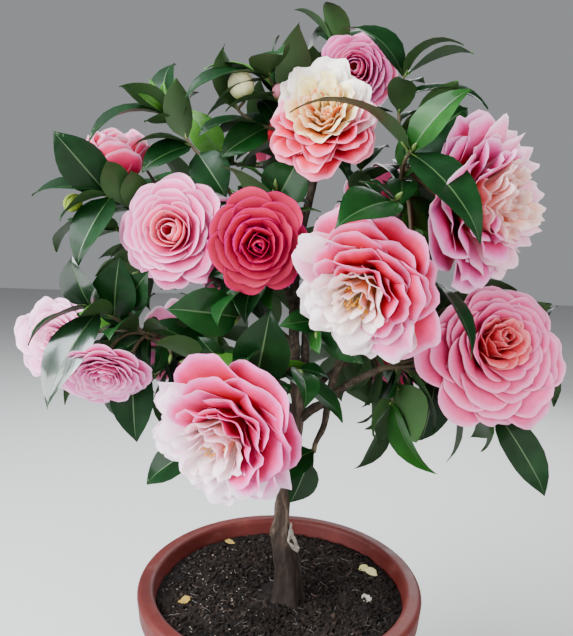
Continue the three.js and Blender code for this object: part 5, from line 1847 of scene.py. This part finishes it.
def litter_piece(finish):
    """Fallen petals, pale specks and fine root fibres that lie on the soil."""
    gathering = Gathering()
    number = seeded(LITTER_SEED)
    for middle, turn, size, colour in FALLEN:
        palette = (colour, colour, lighter(colour))
        points, faces, tones, places = petal(size, FALLEN_FOOT, FALLEN_RING, turn, palette, number)
        gathering.add(points + at(middle), faces, 0, tones, places)
    for _ in range(SPECKS):
        turn, out = on_soil(number, SPECK_TURNS, SPECK_PLACES, SPECK_REACH)
        points, faces = lathe(SPECK_OUTLINE * number(*SPECK_SIZES), SPECK_SIDES)
        place = over_soil(turn, out, number(*SPECK_HEIGHTS))
        shade = at(tone(*SPECK_TONE)) * number(*SPECK_SHADES)
        gathering.add(points + place, faces, 0, even_tone(shade, points))
    for _ in range(FIBRES):
        turn, out = on_soil(number, (0, 2 * math.pi), FIBRE_PLACES, FIBRE_REACH)
        heading, length = number(0, 2 * math.pi), number(*FIBRE_LENGTHS)
        line = [over_soil(turn, out, number(*FIBRE_HEIGHTS))]
        way = at((math.cos(heading), math.sin(heading), number(*FIBRE_RISES)))
        for _ in range(FIBRE_STEPS):
            bend = at((number(*FIBRE_BENDS), number(*FIBRE_BENDS), number(*FIBRE_SINKS)))
            way = unit(way + bend)
            line.append(line[-1] + way * length / FIBRE_STEPS)
        if np.linalg.norm(at(line)[:, :2], axis=1).max() < FIBRE_LIMIT:
            points, faces = tube(line, np.full(len(line), number(*FIBRE_RADII)), FIBRE_SIDES)
            shade = at(tone(*FIBRE_TONE)) * number(*FIBRE_SHADES)
            gathering.add(points, faces, 0, even_tone(shade, points))
    return gathering.piece("soil_litter", [finish], "soil", sharp=70, toned=True)


# Crumbs: the rings and sides of the sheet they lie on, how many, how big in metres, how their
# sizes range along their own three axes, and how far they may be turned
CRUMB_RINGS = np.linspace(24, 118, 12)
CRUMB_SIDES = 48
CRUMBS_PER_SQUARE_METRE = 84000.0
CRUMB_RADIUS = 0.0021
CRUMB_LEAST = (0.35, 0.35, 0.3)
CRUMB_MOST = (1.9, 1.5, 1.05)
CRUMB_TURNS = (ANY_PHASE[1],) * 3


def crumb_tree(material):
    """The rule that scatters crumbs over a sheet: one small lump for each point, turned and sized."""
    tree = bpy.data.node_groups.new("soil_crumb_rule", "GeometryNodeTree")
    for name, way, kind in (("Surface", "INPUT", "Geometry"),
                            ("Crumbs per square metre", "INPUT", "Float"),
                            ("Crumb radius", "INPUT", "Float"), ("Seed", "INPUT", "Int"),
                            ("Crumbs", "OUTPUT", "Geometry")):
        tree.interface.new_socket(name, in_out=way, socket_type="NodeSocket" + kind)

    def node(kind, inputs=(), **settings):
        made = tree.nodes.new(kind)
        for key, value in settings.items():
            setattr(made, key, value)
        for key, value in inputs:
            made.inputs[key].default_value = value
        return made

    entry, leave = node("NodeGroupInput"), node("NodeGroupOutput")
    scatter = node("GeometryNodeDistributePointsOnFaces", distribute_method="RANDOM")
    lump = node("GeometryNodeMeshIcoSphere", [("Subdivisions", 1)])
    turn = node("FunctionNodeRandomValue", [("Max", CRUMB_TURNS)], data_type="FLOAT_VECTOR")
    size = node("FunctionNodeRandomValue", [("Min", CRUMB_LEAST), ("Max", CRUMB_MOST)],
                data_type="FLOAT_VECTOR")
    settle = node("GeometryNodeInstanceOnPoints")
    real = node("GeometryNodeRealizeInstances")
    paint = node("GeometryNodeSetMaterial", [("Material", material)])
    for giver, output, taker, entrance in (
            (entry, "Surface", scatter, "Mesh"),
            (entry, "Crumbs per square metre", scatter, "Density"),
            (entry, "Seed", scatter, "Seed"),
            (entry, "Crumb radius", lump, "Radius"),
            (scatter, "Points", settle, "Points"),
            (lump, "Mesh", settle, "Instance"),
            (turn, 0, settle, "Rotation"),
            (size, 0, settle, "Scale"),
            (settle, "Instances", real, "Geometry"),
            (real, "Geometry", paint, "Geometry"),
            (paint, "Geometry", leave, "Crumbs")):
        tree.links.new(giver.outputs[output], taker.inputs[entrance])
    return tree


def crumbs_piece(material):
    """Loose crumbs on the soil, as one joined mesh."""
    out, turn = np.meshgrid(CRUMB_RINGS, even_turns(CRUMB_SIDES), indexing="ij")
    points = rows_of(out * np.cos(turn), out * np.sin(turn), soil_height(out)) * MM
    faces = tube_faces(len(CRUMB_RINGS), CRUMB_SIDES, closed=False)[0]
    mesh = bpy.data.meshes.new("soil_crumbs")
    mesh.from_pydata(points.tolist(), [], faces.tolist())
    made = bpy.data.objects.new("soil_crumbs", mesh)
    bpy.context.scene.collection.objects.link(made)
    modifier = made.modifiers.new("crumbs", "NODES")
    tree = crumb_tree(material)
    modifier.node_group = tree
    wanted = {"Crumbs per square metre": CRUMBS_PER_SQUARE_METRE,
              "Crumb radius": CRUMB_RADIUS, "Seed": CRUMB_SEED}
    for item in tree.interface.items_tree:
        if item.in_out == "INPUT" and item.name in wanted:
            modifier[item.identifier] = wanted[item.name]
    graph = bpy.context.evaluated_depsgraph_get()
    made.data = bpy.data.meshes.new_from_object(made.evaluated_get(graph))
    made.modifiers.clear()
    made.data.materials.clear()
    made.data.materials.append(material)
    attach(made, "root")
    return made


# The shrub in its pot

FLOOR_REACH = 6.0


def floor_piece():
    """A plain pale floor that is only part of the stage."""
    mesh = bpy.data.meshes.new("studio_floor")
    corners = [(x * FLOOR_REACH, y * FLOOR_REACH, 0) for x, y in ((-1, -1), (1, -1), (1, 1), (-1, 1))]
    mesh.from_pydata(corners, [], [(0, 1, 2, 3)])
    floor = bpy.data.objects.new("studio_floor", mesh)
    mesh.materials.append(plain_finish("pale_floor", tone(192, 191, 189), 0.85, 0.01, 3))
    bpy.context.scene.collection.objects.link(floor)


place_camera()
place_lights()
floor_piece()

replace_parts(pot_piece(pot_finish()), "pot")
soil = soil_finish("soil_dark", tone(10, 7, 6), tone(28, 21, 18), tone(62, 49, 42),
                   tone(96, 82, 70))
crumbs = soil_finish("soil_crumb", tone(12, 9, 7), tone(38, 29, 25), tone(90, 74, 64),
                     tone(170, 156, 138))
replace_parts(soil_piece(soil), "soil")
crumbs_piece(crumbs)

trunk = bark_finish("trunk_bark", tone(22, 16, 13), tone(66, 53, 45), tone(122, 106, 94),
                    (1, 1, 0.22), 150, 0.86)
bough = bark_finish("bough_bark", tone(22, 18, 14), tone(50, 42, 34), tone(86, 76, 64),
                    (1, 1, 1), 160)
tape = plain_finish("graft_tape", tone(140, 132, 122), 0.6, 0.5, 240)
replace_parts(trunk_piece([trunk, tape]), "trunk")
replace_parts(boughs_piece([bough]), *[name for name, *_ in BOUGHS])

twig = plain_finish("twig_bark", tone(72, 62, 40), 0.7, 0.3, 120)
green_stalk = plain_finish("green_stalk", tone(84, 108, 44), 0.5, 0.15, 120)
leaf_finishes = [
    leaf_finish("leaf_deep", tone(5, 36, 9), 0.5, 0.1),
    leaf_finish("leaf_middle", tone(9, 46, 12), 0.48, 0.12),
    leaf_finish("leaf_bright", tone(22, 66, 16), 0.5, 0.12),
    leaf_finish("leaf_young", tone(54, 98, 28), 0.5, 0.12),
    plain_finish("leaf_rib", tone(46, 74, 34), 0.5, 0.1),
    plain_finish("leaf_back", tone(38, 68, 26), 0.6, 0.1),
    leaf_finish("leaf_polished", tone(8, 34, 14), 0.3, 1.0),
]
twigs, leaves = Gathering(), Gathering()
for row in MASSES:
    grow_mass(*row, twigs, leaves)
masses = [row[0] for row in MASSES]
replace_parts(twigs.piece("twigs", [twig, green_stalk], "foliage", sharp=70), *masses)
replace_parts(leaves.piece("leaves", leaf_finishes, "foliage", sharp=62), *masses)

petal_skin = petal_finish()
for index, bloom in enumerate(BLOOMS):
    bloom_piece(bloom, BLOOM_SEED + index, petal_skin)
buds_piece(petal_skin)
litter_piece(petal_skin)
